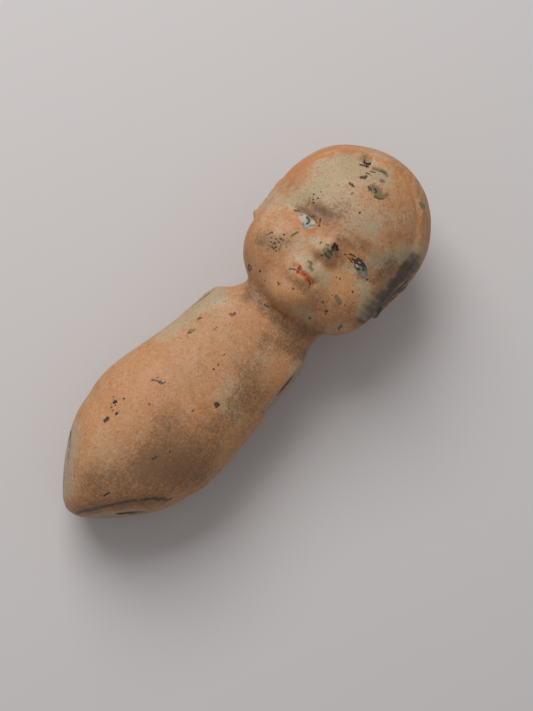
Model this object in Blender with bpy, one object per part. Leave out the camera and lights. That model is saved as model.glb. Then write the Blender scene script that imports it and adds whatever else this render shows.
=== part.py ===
"""Trunk and head of a small strung play doll whose arms and legs are lost.

The body is a hollow moulding in two pressed halves, front and back, that meet on a flat parting plane and are
held by beads of glue inside the seam. Flat, slightly dished seats for the limbs are cut at the shoulders and
hips, and two string ways run across the body through them. All lengths are in metres. The doll is modelled
about its parting plane: +X is its left, +Y runs from crotch to crown and +Z is the way that its face looks.
"""

import math

import bmesh
import bpy
import numpy as np
from mathutils import Matrix, Vector

# Head sizes
head_width = 0.0416
head_height = 0.0502
head_depth = 0.0410
eye_line_rise = 0.0203
head_forward = 0.0018
head_lean = math.radians(5.3)
head_turn = math.radians(0.5)

# Torso sizes
torso_width = 0.0378
torso_depth = 0.0300
neck_height = 0.0714
neck_root_rise = 0.0116
pelvis_height = 0.0225
pelvis_reach = 0.0233
neck_blend = 0.0016
neck_clearance = 0.0018

# Shell sizes
wall = 0.0026
fit_gap = 0.0003
glue_radius = 0.0009
cut_overrun = 0.0040

# Arm seats and the string way between them
arm_seat_inset = 0.0033
arm_seat_drop = 0.0109
arm_seat_length = 0.0190
arm_seat_pitch = math.radians(9.0)
arm_seat_yaw = math.radians(5.5)
arm_dish_diameter = 0.0100
arm_dish_depth = 0.0007
arm_way_diameter = 0.0068

# Leg seats and the string way between them
crotch_half_width = 0.0015
leg_seat_slope = math.radians(50.4)
leg_seat_middle = 0.0140
leg_dish_diameter = 0.0150
leg_dish_depth = 0.0007
leg_way_height = 0.0107
leg_way_diameter = 0.0064

# Hole for a hair ribbon's pin, at the end of the parting
ribbon_hole_diameter = 0.0014
ribbon_hole_depth = 0.0070

# How the doll lies on its back
lying_pitch = math.radians(2.9)

# Mesh counts
outer_segments = 48
inner_segments = 32
outer_head_rings = 44
outer_torso_rings = 20
outer_base_rings = 7
inner_head_rings = 20
inner_torso_rings = 10
inner_base_rings = 4
bridge_rings = 2
hole_segments = 16
dish_rings = 6
glue_sides = 8
head_bead_points = 35
flank_bead_points = 10
shoulder_bead_points = 5
crotch_bead_points = 5

# How rings crowd towards the face, and how points are walked and settled onto the surface
crowding_share = 0.52
ring_crowding_power = 0.82
walk_steps = 70
walk_share = 0.6
settle_steps = 6
probe_share = 0.05
merge_share = 0.01
tiny = 1e-9

# How round the torso's section is, how far the crotch bead spreads, and where an edge stays sharp
torso_corner_power = 2.25
crotch_bead_spread = math.radians(32.0)
sharp_angle = math.radians(40.0)

# Torso outline: height as a share of neck_height, half width, front and back as shares of half sizes
torso_outline_shares = [
    (0.315, 0.931, 1.000, 0.985),
    (0.380, 0.979, 1.015, 0.960),
    (0.450, 0.997, 0.985, 0.910),
    (0.530, 0.968, 0.930, 0.880),
    (0.610, 0.923, 0.860, 0.885),
    (0.690, 0.884, 0.800, 0.920),
    (0.760, 0.865, 0.765, 0.955),
    (0.810, 0.884, 0.750, 0.950),
    (0.860, 0.905, 0.730, 0.930),
    (0.890, 0.889, 0.710, 0.890),
    (0.925, 0.794, 0.680, 0.810),
    (0.955, 0.688, 0.655, 0.750),
    (0.985, 0.632, 0.640, 0.710),
    (1.160, 0.610, 0.640, 0.690),
]

# Head forms: centre and radii as shares of head width, height and depth, from the middle of the eye line
head_form_shares = {
    "skull": ((0.0, 0.112, -0.016), (0.482, 0.468, 0.482)),
    "forehead": ((0.0, 0.190, 0.080), (0.400, 0.285, 0.358)),
    "jaw": ((0.0, -0.210, 0.065), (0.350, 0.210, 0.295)),
    "right_cheek": ((-0.222, -0.132, 0.170), (0.222, 0.190, 0.222)),
    "left_cheek": ((0.222, -0.132, 0.170), (0.222, 0.190, 0.222)),
    "chin": ((0.0, -0.318, 0.290), (0.125, 0.080, 0.125)),
    "muzzle": ((0.0, -0.205, 0.285), (0.155, 0.110, 0.155)),
}
head_blend_share = 0.085

# Small head forms that blend more tightly: nose, nostril wings and ears
fine_form_shares = {
    "nose_bridge": ((0.0, 0.020, 0.375), (0.046, 0.090, 0.070)),
    "nose_tip": ((0.0, -0.058, 0.412), (0.056, 0.048, 0.082)),
    "right_nostril": ((-0.046, -0.078, 0.415), (0.034, 0.027, 0.042)),
    "left_nostril": ((0.046, -0.078, 0.415), (0.034, 0.027, 0.042)),
    "right_ear": ((-0.458, 0.030, -0.030), (0.040, 0.115, 0.085)),
    "left_ear": ((0.458, 0.030, -0.030), (0.040, 0.115, 0.085)),
}
fine_blend_share = 0.040

# Relief on the head: centre, radii and height, all as shares like those above, height of head width
paired_relief_shares = {
    "eye_socket": ((0.200, 0.010, 0.400), (0.125, 0.070, 0.110), -0.0300),
    "eyeball": ((0.200, 0.000, 0.400), (0.078, 0.040, 0.100), 0.0220),
    "upper_lid": ((0.200, 0.040, 0.400), (0.085, 0.016, 0.100), 0.0110),
    "brow": ((0.215, 0.118, 0.390), (0.130, 0.040, 0.100), 0.0090),
    "lip_peak": ((0.030, -0.198, 0.450), (0.040, 0.018, 0.080), 0.0120),
    "mouth_corner": ((0.078, -0.217, 0.440), (0.020, 0.018, 0.080), -0.0120),
    "ear_hollow": ((0.500, 0.040, -0.010), (0.040, 0.066, 0.048), -0.0300),
    "temple_groove": ((0.455, 0.090, 0.110), (0.050, 0.110, 0.040), -0.0180),
}
single_relief_shares = {
    "philtrum": ((0.0, -0.140, 0.450), (0.020, 0.036, 0.080), -0.0080),
    "lower_lip": ((0.0, -0.243, 0.445), (0.046, 0.018, 0.080), 0.0155),
    "mouth_line": ((0.0, -0.218, 0.460), (0.062, 0.008, 0.080), -0.0130),
    "lip_fold": ((0.0, -0.290, 0.420), (0.075, 0.020, 0.080), -0.0120),
    "right_hair_lobe": ((-0.365, 0.310, 0.150), (0.120, 0.165, 0.200), 0.0200),
    "left_hair_lobe": ((0.200, 0.470, 0.100), (0.250, 0.130, 0.230), 0.0200),
    "forelock": ((-0.030, 0.490, 0.220), (0.060, 0.040, 0.080), 0.0120),
}

# Hair: the face opening in the hair cap, the cap's thickness, its nape line and the side parting
face_opening_share = ((0.024, -0.010, 0.290), (0.436, 0.514, 0.420))
hair_thickness_share = 0.020
hair_edge_share = 0.030
nape_share = -0.350
parting_share = ((-0.250, 0.490, -0.060), (-0.152, 0.440, 0.270))
parting_width_share = 0.045
parting_depth_share = 0.034

# Relief on the back of the torso: the cleft between the buttocks, as shares of half width, neck_height
# and half depth, its depth a share of half depth
cleft_share = ((0.0, 0.09, -0.95), (0.11, 0.17, 0.50))
cleft_depth_share = 0.11


def clear_scene():
    for item in list(bpy.data.objects):
        bpy.data.objects.remove(item, do_unlink=True)


def make_material(name, color, roughness):
    material = bpy.data.materials.new(name)
    material.use_nodes = True
    shader = material.node_tree.nodes["Principled BSDF"]
    shader.inputs["Base Color"].default_value = (*color, 1.0)
    shader.inputs["Roughness"].default_value = roughness
    shader.inputs["Metallic"].default_value = 0.0
    return material


def head_scale():
    return np.array([head_width, head_height, head_depth])


def head_rotation():
    """Turns a point from the doll's frame into the head's own frame."""
    lean = Matrix.Rotation(-head_lean, 3, "Z")
    turn = Matrix.Rotation(head_turn, 3, "Y")
    return np.array(turn @ lean)


def head_origin():
    """Middle of the eye line at half the head's depth, moved aside by the head's lean over the neck."""
    return np.array([-eye_line_rise * math.sin(head_lean), neck_height + eye_line_rise, head_forward])


def head_middle():
    """The point of the parting plane that the head's rings and seam are measured about."""
    return head_origin() * np.array([1, 1, 0])


def smooth_union(first, second, blend):
    overlap = np.maximum(blend - np.abs(first - second), 0.0) / blend
    return np.minimum(first, second) - overlap * overlap * blend / 4


def ellipsoid_field(points, centre, radii):
    unit = (points - centre) / radii
    reach = np.linalg.norm(unit, axis=1)
    slope = np.linalg.norm(unit / radii, axis=1)
    return reach * (reach - 1.0) / np.maximum(slope, tiny)


def bump(points, centre, radii):
    unit = (points - centre) / radii
    return np.exp(-np.sum(unit * unit, axis=1))


def smooth_step(value):
    share = np.clip(value, 0.0, 1.0)
    return share * share * (3 - 2 * share)


def distance_to_segment(points, start, end):
    along = end - start
    share = np.clip((points - start) @ along / (along @ along), 0.0, 1.0)
    return np.linalg.norm(points - start - share[:, None] * along, axis=1)


def smooth_curve(places, values, where):
    """A curve through the outline's points with no corner, held flat past its ends."""
    slopes = np.gradient(values, places)
    slopes[0] = 0.0
    where = np.clip(where, places[0], places[-1])
    index = np.clip(np.searchsorted(places, where) - 1, 0, len(places) - 2)
    span = places[index + 1] - places[index]
    t = (where - places[index]) / span
    start = (2 * t ** 3 - 3 * t ** 2 + 1) * values[index] + (t ** 3 - 2 * t ** 2 + t) * span * slopes[index]
    end = (3 * t ** 2 - 2 * t ** 3) * values[index + 1] + (t ** 3 - t ** 2) * span * slopes[index + 1]
    return start + end


def torso_half_sizes(height):
    """Half width, depth in front and depth behind of the torso's section at each height."""
    outline = np.array(torso_outline_shares)
    places = outline[:, 0] * neck_height
    half_width = smooth_curve(places, outline[:, 1], height) * torso_width / 2
    front = smooth_curve(places, outline[:, 2], height) * torso_depth / 2
    back = smooth_curve(places, outline[:, 3], height) * torso_depth / 2
    return half_width, front, back


def torso_field(points):
    height = points[:, 1]
    half_width, front, back = torso_half_sizes(height)
    depth = np.where(points[:, 2] > 0, front, back)
    below = np.minimum(height - pelvis_height, 0.0)
    terms = np.abs(points[:, 0] / half_width) ** torso_corner_power
    terms += np.abs(points[:, 2] / depth) ** torso_corner_power
    terms += np.abs(below / pelvis_reach) ** torso_corner_power
    field = (terms ** (1 / torso_corner_power) - 1) * np.minimum(half_width, depth)
    return np.maximum(field, height - neck_height - neck_root_rise)


def last_head_polar():
    """Polar angle of the head's lowest ray, which passes the neck with its clearance."""
    half_width, front, back = torso_half_sizes(np.array([neck_height]))
    return math.pi - math.atan2(half_width[0] + neck_clearance, eye_line_rise)


def cleft_relief(points):
    half_sizes = np.array([torso_width / 2, neck_height, torso_depth / 2])
    centre, radii = (np.array(row) * half_sizes for row in cleft_share)
    return -bump(points, centre, radii) * cleft_depth_share * torso_depth / 2


def form_union(field, points, forms, blend):
    scale = head_scale()
    for centre, radii in forms.values():
        form = ellipsoid_field(points, np.array(centre) * scale, np.array(radii) * scale)
        field = smooth_union(field, form, blend) if field is not None else form
    return field


def head_relief(points):
    """Height that the modelled relief adds to the face, ears and hair."""
    scale = head_scale()
    height = np.zeros(len(points))
    for centre, radii, amount in paired_relief_shares.values():
        for side in (-1, 1):
            place = np.array(centre) * scale * np.array([side, 1, 1])
            height += bump(points, place, np.array(radii) * scale) * amount * head_width
    for centre, radii, amount in single_relief_shares.values():
        height += bump(points, np.array(centre) * scale, np.array(radii) * scale) * amount * head_width
    return height + hair_relief(points)


def hair_relief(points):
    scale = head_scale()
    centre, radii = (np.array(row) * scale for row in face_opening_share)
    edge = hair_edge_share * head_width
    outside = smooth_step(ellipsoid_field(points, centre, radii) / edge + 0.5)
    above_nape = smooth_step((points[:, 1] - nape_share * head_height) / edge / 2 + 0.5)
    cap = hair_thickness_share * head_width * outside * above_nape
    start, end = (np.array(row) * scale for row in parting_share)
    near = distance_to_segment(points, start, end) / (parting_width_share * head_width)
    return cap - parting_depth_share * head_width * np.exp(-near * near)


def head_local(points):
    """Points of the doll's frame in the head's own frame."""
    return (points - head_origin()) @ head_rotation().T


def plain_head_field(points):
    """The head's main forms, without the nose, the ears or any relief."""
    return form_union(None, head_local(points), head_form_shares, head_blend_share * head_width)


def body_field(points):
    """Negative inside the body, positive outside, about the distance to its surface."""
    local = head_local(points)
    head = form_union(plain_head_field(points), local, fine_form_shares, fine_blend_share * head_width)
    head = head - head_relief(local)
    return smooth_union(head, torso_field(points) - cleft_relief(points), neck_blend)


def leg_seat_normal(side):
    return np.array([side * math.sin(leg_seat_slope), -math.cos(leg_seat_slope), 0.0])


def arm_seat_normal(side):
    level = math.cos(arm_seat_pitch)
    return np.array([side * level * math.cos(arm_seat_yaw), level * math.sin(arm_seat_yaw),
                     math.sin(arm_seat_pitch)])


def leg_seat_point(side):
    return np.array([side * crotch_half_width, 0.0, 0.0])


def arm_seat_point(side):
    """Middle of an arm seat, in from the widest flank and down from the neck."""
    return np.array([side * (torso_width / 2 - arm_seat_inset), neck_height - arm_seat_drop, 0.0])


def cavity_field(points):
    """The body without its fine detail, its torso behind the four seats, drawn in by the wall."""
    torso = torso_field(points)
    for side in (-1, 1):
        for point, normal in ((leg_seat_point(side), leg_seat_normal(side)),
                              (arm_seat_point(side), arm_seat_normal(side))):
            seat = (points - point) @ normal
            torso = -smooth_union(-torso, -seat, wall)
    return smooth_union(plain_head_field(points), torso, neck_blend) + wall


def first_exit(field, origins, directions, start_step):
    """Walks each ray from inside the body out to the surface where the field turns positive."""
    reach = np.zeros(len(origins))
    for _ in range(walk_steps):
        depth = -field(origins + reach[:, None] * directions)
        reach += np.clip(depth * walk_share, -start_step, start_step)
    return origins + reach[:, None] * directions


def settle(field, points, probe):
    """Moves points along the field's slope onto the surface."""
    for _ in range(settle_steps):
        value = field(points)
        slope = np.zeros_like(points)
        for axis in range(3):
            step = np.zeros(3)
            step[axis] = probe
            slope[:, axis] = (field(points + step) - field(points - step)) / (2 * probe)
        square = np.maximum(np.sum(slope * slope, axis=1), tiny)
        points = points - slope * (value / square)[:, None]
    return points


def around(segments):
    """Angles about the body from the front, crowded towards the face."""
    turns = (np.arange(segments) + 0.5) / segments * 2 * math.pi - math.pi
    return turns - crowding_share * np.sin(turns)


def ring_rays(head_rings, torso_rings, base_rings):
    """Start point and polar angle of each ring, from below the crown to above the crotch."""
    centre = head_middle()
    rows = []
    for share in np.linspace(0, 1, head_rings + 1)[1:]:
        rows.append((centre, last_head_polar() * share ** ring_crowding_power))
    neck_start = neck_height - neck_blend / 2
    for height in np.linspace(neck_start, pelvis_height, torso_rings):
        rows.append((np.array([0.0, height, 0.0]), math.pi / 2))
    for polar in np.linspace(math.pi / 2, math.pi, base_rings + 2)[1:-1]:
        rows.append((np.array([0.0, pelvis_height, 0.0]), polar))
    return rows


def bridge(field, upper, lower):
    """Rows of points across the neck crease, laid on the surface between a row above and a row below."""
    rows = []
    for step in range(bridge_rings):
        share = (step + 1) / (bridge_rings + 1)
        rows.append(settle(field, upper * (1 - share) + lower * share, wall * probe_share))
    return rows


def surface_rings(field, counts, segments):
    """Rings of points on a field's surface, with the two end points as rings of one point each."""
    angles = around(segments)
    rings = []
    for centre, polar in ring_rays(*counts):
        sweep = np.stack([np.sin(angles) * math.sin(polar), np.full(segments, math.cos(polar)),
                          np.cos(angles) * math.sin(polar)], axis=1)
        rings.append(first_exit(field, np.tile(centre, (segments, 1)), sweep, wall))
    joint = counts[0]
    rings[joint:joint] = bridge(field, rings[joint - 1], rings[joint])
    crown = first_exit(field, np.array([head_middle()]), np.array([[0.0, 1.0, 0.0]]), wall)
    base = first_exit(field, np.array([[0.0, pelvis_height, 0.0]]), np.array([[0.0, -1.0, 0.0]]), wall)
    return [crown] + rings + [base]


def wrapped_sphere(name, rings):
    """A closed skin: a unit globe whose circles of latitude are laid on the given rings."""
    segments = len(rings[1])
    mesh = bmesh.new()
    bmesh.ops.create_uvsphere(mesh, u_segments=segments, v_segments=len(rings) - 1, radius=1.0)
    for vert in mesh.verts:
        polar = math.acos(max(-1.0, min(1.0, vert.co.z)))
        row = round(polar / math.pi * (len(rings) - 1))
        turn = math.atan2(vert.co.y, vert.co.x) / (2 * math.pi) * segments
        ring = rings[row]
        vert.co = Vector(ring[round(turn) % len(ring)])
    bmesh.ops.recalc_face_normals(mesh, faces=mesh.faces)
    data = bpy.data.meshes.new(name)
    mesh.to_mesh(data)
    mesh.free()
    item = bpy.data.objects.new(name, data)
    bpy.context.scene.collection.objects.link(item)
    return item


def facing(normal):
    """A turn whose Z runs along the normal and whose Y keeps as near as it can to the doll's Y."""
    z_axis = Vector(normal).normalized()
    x_axis = Vector((0, 1, 0)).cross(z_axis).normalized()
    return Matrix((x_axis, z_axis.cross(x_axis), z_axis)).transposed()


def hide_as_cutter(item):
    item.hide_render = True
    item.display_type = "WIRE"
    return item


def box_cutter(name, size, place, turn):
    mesh = bmesh.new()
    bmesh.ops.create_cube(mesh, size=1.0)
    bmesh.ops.scale(mesh, vec=size, verts=mesh.verts)
    data = bpy.data.meshes.new(name)
    mesh.to_mesh(data)
    mesh.free()
    item = bpy.data.objects.new(name, data)
    bpy.context.scene.collection.objects.link(item)
    item.matrix_world = Matrix.Translation(place) @ turn.to_4x4()
    return hide_as_cutter(item)


def rod_cutter(name, diameter, start, end, segments):
    """A faceted rod between two points whose flats, not its edges, reach the diameter."""
    along = Vector(end) - Vector(start)
    mesh = bmesh.new()
    outer = diameter / 2 / math.cos(math.pi / segments)
    bmesh.ops.create_cone(mesh, cap_ends=True, segments=segments, radius1=outer, radius2=outer,
                          depth=along.length)
    data = bpy.data.meshes.new(name)
    mesh.to_mesh(data)
    mesh.free()
    item = bpy.data.objects.new(name, data)
    bpy.context.scene.collection.objects.link(item)
    item.matrix_world = Matrix.Translation((Vector(start) + Vector(end)) / 2) @ facing(along).to_4x4()
    return hide_as_cutter(item)


def dish_cutter(name, diameter, depth, place, normal):
    """A ball that sinks a shallow dish of the given width and depth into a seat."""
    radius = (diameter * diameter / 4 + depth * depth) / (2 * depth)
    mesh = bmesh.new()
    half_angle = math.asin(diameter / 2 / radius)
    lift = radius - depth
    profile = [mesh.verts.new((0, 0, -depth))]
    for ring in range(1, dish_rings + 1):
        angle = half_angle * ring / dish_rings
        profile.append(mesh.verts.new((radius * math.sin(angle), 0, lift - radius * math.cos(angle))))
    profile.append(mesh.verts.new((diameter / 2, 0, cut_overrun)))
    profile.append(mesh.verts.new((0, 0, cut_overrun)))
    edges = [mesh.edges.new(pair) for pair in zip(profile, profile[1:])]
    bmesh.ops.spin(mesh, geom=profile + edges, cent=(0, 0, 0), axis=(0, 0, 1), angle=2 * math.pi,
                   steps=2 * hole_segments, use_merge=True)
    bmesh.ops.remove_doubles(mesh, verts=mesh.verts, dist=depth * merge_share)
    bmesh.ops.recalc_face_normals(mesh, faces=mesh.faces)
    data = bpy.data.meshes.new(name)
    mesh.to_mesh(data)
    mesh.free()
    item = bpy.data.objects.new(name, data)
    bpy.context.scene.collection.objects.link(item)
    item.matrix_world = Matrix.Translation(place) @ facing(normal).to_4x4()
    return hide_as_cutter(item)


def plane_cutter(name, point, normal, length):
    """A block whose one face is the plane through a point, on the side that the normal faces."""
    place = Vector(point) + Vector(normal) * torso_width / 2
    return box_cutter(name, (torso_width, length, torso_width), place, facing(normal))


def seat_cutters():
    cutters = []
    for side, word in ((-1, "right"), (1, "left")):
        leg_normal = leg_seat_normal(side)
        along = np.array([side * math.cos(leg_seat_slope), math.sin(leg_seat_slope), 0.0])
        leg_middle = leg_seat_point(side) + along * leg_seat_middle
        cutters.append(plane_cutter(word + "_leg_plane", leg_middle, leg_normal, neck_height))
        cutters.append(dish_cutter(word + "_leg_dish", leg_dish_diameter, leg_dish_depth, leg_middle, leg_normal))
        arm_normal = arm_seat_normal(side)
        arm_middle = arm_seat_point(side)
        cutters.append(plane_cutter(word + "_arm_plane", arm_middle, arm_normal, arm_seat_length))
        cutters.append(dish_cutter(word + "_arm_dish", arm_dish_diameter, arm_dish_depth, arm_middle, arm_normal))
    return cutters


def way_cutters():
    half = torso_width / 2 + cut_overrun
    arm_ends = [(side * half, neck_height - arm_seat_drop, 0.0) for side in (-1, 1)]
    leg_ends = [(side * half, leg_way_height, 0.0) for side in (-1, 1)]
    return [rod_cutter("arm_way", arm_way_diameter, *arm_ends, hole_segments),
            rod_cutter("leg_way", leg_way_diameter, *leg_ends, hole_segments),
            ribbon_hole_cutter()]


def ribbon_hole_cutter():
    """A pin hole through the head's wall, square to the hair at the parting's front end."""
    local = np.array(parting_share[1]) * head_scale()
    place = local @ head_rotation() + head_origin()
    centre = head_middle()
    direction = (place - centre) / np.linalg.norm(place - centre)
    surface = first_exit(body_field, np.array([centre]), np.array([direction]), wall)[0]
    start = surface - direction * ribbon_hole_depth
    end = surface + direction * cut_overrun
    return rod_cutter("ribbon_hole", ribbon_hole_diameter, start, end, hole_segments // 2)


def apply_boolean(target, cutter, operation):
    modifier = target.modifiers.new(cutter.name, "BOOLEAN")
    modifier.operation = operation
    modifier.solver = "EXACT"
    modifier.object = cutter


def bake(item):
    """Turns an object and its modifiers into one plain mesh."""
    graph = bpy.context.evaluated_depsgraph_get()
    data = bpy.data.meshes.new_from_object(item.evaluated_get(graph))
    item.modifiers.clear()
    item.data = data


def remove(items):
    for item in items:
        bpy.data.objects.remove(item, do_unlink=True)


def make_body():
    """The whole hollow body: skin, cavity, seats and string ways."""
    counts = (outer_head_rings, outer_torso_rings, outer_base_rings)
    body = wrapped_sphere("body", surface_rings(body_field, counts, outer_segments))
    counts = (inner_head_rings, inner_torso_rings, inner_base_rings)
    cavity = wrapped_sphere("cavity", surface_rings(cavity_field, counts, inner_segments))
    hide_as_cutter(cavity)
    cutters = seat_cutters() + [cavity] + way_cutters()
    for cutter in cutters:
        apply_boolean(body, cutter, "DIFFERENCE")
    bpy.context.view_layer.update()
    bake(body)
    remove(cutters)
    return body


def make_half(body, name, side, material):
    """One pressed half: what lies beyond half the fit gap on its side of the parting plane."""
    half = body.copy()
    half.data = body.data.copy()
    half.name = name
    bpy.context.scene.collection.objects.link(half)
    size = 2 * (neck_height + eye_line_rise + head_height)
    cutter = box_cutter(name + "_cut", (size, size, size), Vector((0, 0, -side * (size / 2 - fit_gap / 2))),
                        Matrix.Identity(3))
    apply_boolean(half, cutter, "DIFFERENCE")
    bpy.context.view_layer.update()
    bake(half)
    remove([cutter])
    half.data.materials.clear()
    half.data.materials.append(material)
    half.data.shade_smooth()
    half.data.set_sharp_from_angle(angle=sharp_angle)
    return half


def facet_sag():
    """How far the flat facets of the cavity's wall stand in from its true curve at the sides."""
    half_facet = math.pi * (1 + crowding_share) / inner_segments
    return head_width / 2 * (1 - math.cos(half_facet))


def seam_field(points):
    """The line of a glue bead's middle: its radius and the fit gap in from the cavity's wall."""
    return cavity_field(points) + fit_gap + glue_radius + facet_sag()


def seam_points(rays):
    starts = np.array([start for start, direction in rays])
    directions = np.array([direction for start, direction in rays])
    return first_exit(seam_field, starts, directions, wall)


def glue_bead(name, points, material):
    curve = bpy.data.curves.new(name, "CURVE")
    curve.dimensions = "3D"
    curve.bevel_depth = glue_radius
    curve.bevel_resolution = glue_sides // 4
    curve.use_fill_caps = True
    spline = curve.splines.new("POLY")
    spline.points.add(len(points) - 1)
    for place, point in zip(spline.points, points):
        place.co = (*point, 1.0)
    item = bpy.data.objects.new(name, curve)
    item.data.materials.append(material)
    bpy.context.scene.collection.objects.link(item)
    return item


def side_ray(side, height):
    return (np.array([0.0, height, 0.0]), np.array([float(side), 0.0, 0.0]))


def shoulder_points(side):
    """Seam points from an arm hole up to the neck."""
    clear = arm_way_diameter / 2 + glue_radius + fit_gap
    heights = np.linspace(neck_height - arm_seat_drop + clear, neck_height, shoulder_bead_points)
    return seam_points([side_ray(side, height) for height in heights])


def head_seam_points(steps):
    """Seam points from the right arm hole up round the head and down to the left one."""
    rays = []
    for angle in np.linspace(-last_head_polar(), last_head_polar(), steps):
        rays.append((head_middle(), np.array([math.sin(angle), math.cos(angle), 0.0])))
    head = seam_points(rays)
    right = shoulder_points(-1)
    left = shoulder_points(1)
    up = bridge(seam_field, right[-1:], head[:1])
    down = bridge(seam_field, head[-1:], left[-1:])
    return np.concatenate([right] + up + [head] + down + [left[::-1]])


def flank_rays(side, steps):
    high = neck_height - arm_seat_drop - arm_way_diameter / 2 - glue_radius - fit_gap
    low = leg_way_height + leg_way_diameter / 2 + glue_radius + 2 * wall
    return [side_ray(side, height) for height in np.linspace(high, low, steps)]


def crotch_rays(steps):
    start = np.array([0.0, leg_way_height, 0.0])
    rays = []
    for angle in np.linspace(-crotch_bead_spread, crotch_bead_spread, steps):
        rays.append((start, np.array([math.sin(angle), -math.cos(angle), 0.0])))
    return rays


def make_glue(material):
    right_flank = seam_points(flank_rays(-1, flank_bead_points))
    left_flank = seam_points(flank_rays(1, flank_bead_points))
    return [glue_bead("head_seam_glue", head_seam_points(head_bead_points), material),
            glue_bead("right_side_seam_glue", right_flank, material),
            glue_bead("left_side_seam_glue", left_flank, material),
            glue_bead("crotch_seam_glue", seam_points(crotch_rays(crotch_bead_points)), material)]


def lay_down(pieces):
    """Lays the doll on its back with its origin under the middle of its box."""
    tilt = Matrix.Rotation(lying_pitch, 4, "X")
    corners = []
    for piece in pieces:
        if piece.type == "MESH":
            corners += [tilt @ vert.co for vert in piece.data.vertices]
    low = [min(corner[axis] for corner in corners) for axis in range(3)]
    high = [max(corner[axis] for corner in corners) for axis in range(3)]
    middle = Vector(((low[0] + high[0]) / 2, (low[1] + high[1]) / 2, low[2]))
    doll = bpy.data.objects.new("doll", None)
    bpy.context.scene.collection.objects.link(doll)
    doll.matrix_world = Matrix.Translation(-middle) @ tilt
    for piece in pieces:
        piece.parent = doll


def main():
    clear_scene()
    skin = make_material("flesh_paint", (0.62, 0.36, 0.24), 0.62)
    glue = make_material("hide_glue", (0.30, 0.17, 0.07), 0.40)
    body = make_body()
    front = make_half(body, "front_half", 1, skin)
    back = make_half(body, "back_half", -1, skin)
    remove([body])
    lay_down([front, back] + make_glue(glue))


main()
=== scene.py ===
# %% [markdown]
# # The trunk of a small moulded play doll
#
# The object is the hollow body of a strung doll that has lost its arms and legs. Head and trunk are one
# moulding in a front and a back half, glued along a flat seam, covered with a pale ground and painted
# flesh colour. Years of handling have rubbed the paint down to the ground and knocked chips out of it.
#
# The solid model gives the fixed frame. This file makes the two visible half shells again with far finer
# meshes, so that eyelids, ears, locks of hair and the pits of the chips are real shape, and paints them
# with node materials.

# %% Load the frame
import math

import bmesh
import bpy
import numpy as np
from mathutils import Matrix, Vector


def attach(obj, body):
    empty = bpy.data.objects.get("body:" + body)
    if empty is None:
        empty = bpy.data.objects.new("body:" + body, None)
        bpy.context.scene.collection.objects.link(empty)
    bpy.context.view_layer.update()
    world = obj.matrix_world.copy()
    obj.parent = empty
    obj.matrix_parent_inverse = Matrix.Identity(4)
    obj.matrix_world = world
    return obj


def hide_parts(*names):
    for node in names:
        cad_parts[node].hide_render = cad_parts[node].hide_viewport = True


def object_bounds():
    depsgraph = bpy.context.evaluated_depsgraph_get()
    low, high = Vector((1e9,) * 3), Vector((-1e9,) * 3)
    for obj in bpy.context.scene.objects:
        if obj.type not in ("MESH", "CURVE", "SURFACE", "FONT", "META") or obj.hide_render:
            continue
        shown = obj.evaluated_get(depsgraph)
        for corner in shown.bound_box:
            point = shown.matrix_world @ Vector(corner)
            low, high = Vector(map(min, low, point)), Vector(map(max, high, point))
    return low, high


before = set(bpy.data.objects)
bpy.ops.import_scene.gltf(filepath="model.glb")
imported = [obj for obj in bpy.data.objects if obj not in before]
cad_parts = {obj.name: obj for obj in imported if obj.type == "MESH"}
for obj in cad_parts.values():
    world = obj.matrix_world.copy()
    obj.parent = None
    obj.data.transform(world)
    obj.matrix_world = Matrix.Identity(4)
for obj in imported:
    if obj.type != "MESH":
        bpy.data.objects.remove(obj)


cad_low, cad_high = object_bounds()

# %% [markdown]
# ## Sizes
#
# A doll is easiest to shape in its own frame: +X to its left, +Y from crotch to crown, +Z the way it
# looks, with the seam between the halves at z = 0. It is laid on its back at the very end. Lengths are in
# metres. Small forms are given as shares of the head's width, height and depth, the way a sculptor
# measures a head.

# %% Sizes of the body
head_width = 0.0416
head_height = 0.0502
head_depth = 0.0410
eye_line_rise = 0.0203
head_forward = 0.0018
head_lean = math.radians(5.3)
head_turn = math.radians(0.5)
torso_width = 0.0387
torso_depth = 0.0300
neck_height = 0.0714
neck_root_rise = 0.0116
neck_clearance = 0.0018
pelvis_reach = 0.0250
crotch_overrun = 0.0025
crotch_drop = 0.0005
pelvis_height = pelvis_reach - crotch_overrun
neck_blend = 0.0016
torso_corner_power = 2.25
torso_lean_share = 0.014
wall = 0.0026
seam_gap = 0.00004
lying_pitch = math.radians(2.9)
doll_place = np.array([0.0021519, -0.0603969, 0.0144873])
tilt = np.array(Matrix.Rotation(lying_pitch, 3, "X"))
head_sizes = np.array([head_width, head_height, head_depth])
tiny = 1e-9

# %% Sizes of the seats, string ways and ribbon hole
arm_seat_reach = 0.0156
arm_seat_drop = 0.0109
arm_seat_length = 0.0190
arm_seat_pitch = math.radians(9.0)
arm_seat_yaw = math.radians(5.5)
arm_dish_diameter = 0.0100
arm_dish_depth = 0.0007
arm_way_diameter = 0.0068
crotch_half_width = 0.0026
leg_seat_slope = math.radians(50.4)
leg_seat_pitch = math.radians(10.0)
leg_seat_rounding = 0.0055
leg_seat_allowance = 0.0006
leg_seat_middle = 0.0140
leg_dish_diameter = 0.0105
leg_dish_depth = 0.0007
leg_way_height = 0.0107
leg_way_diameter = 0.0064
ribbon_hole_diameter = 0.0014
ribbon_hole_depth = 0.0070
cut_overrun = 0.0040
way_segments = 40
dish_rings = 8
dish_arc_share = 1.15
ribbon_hole_segments = 12

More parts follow.
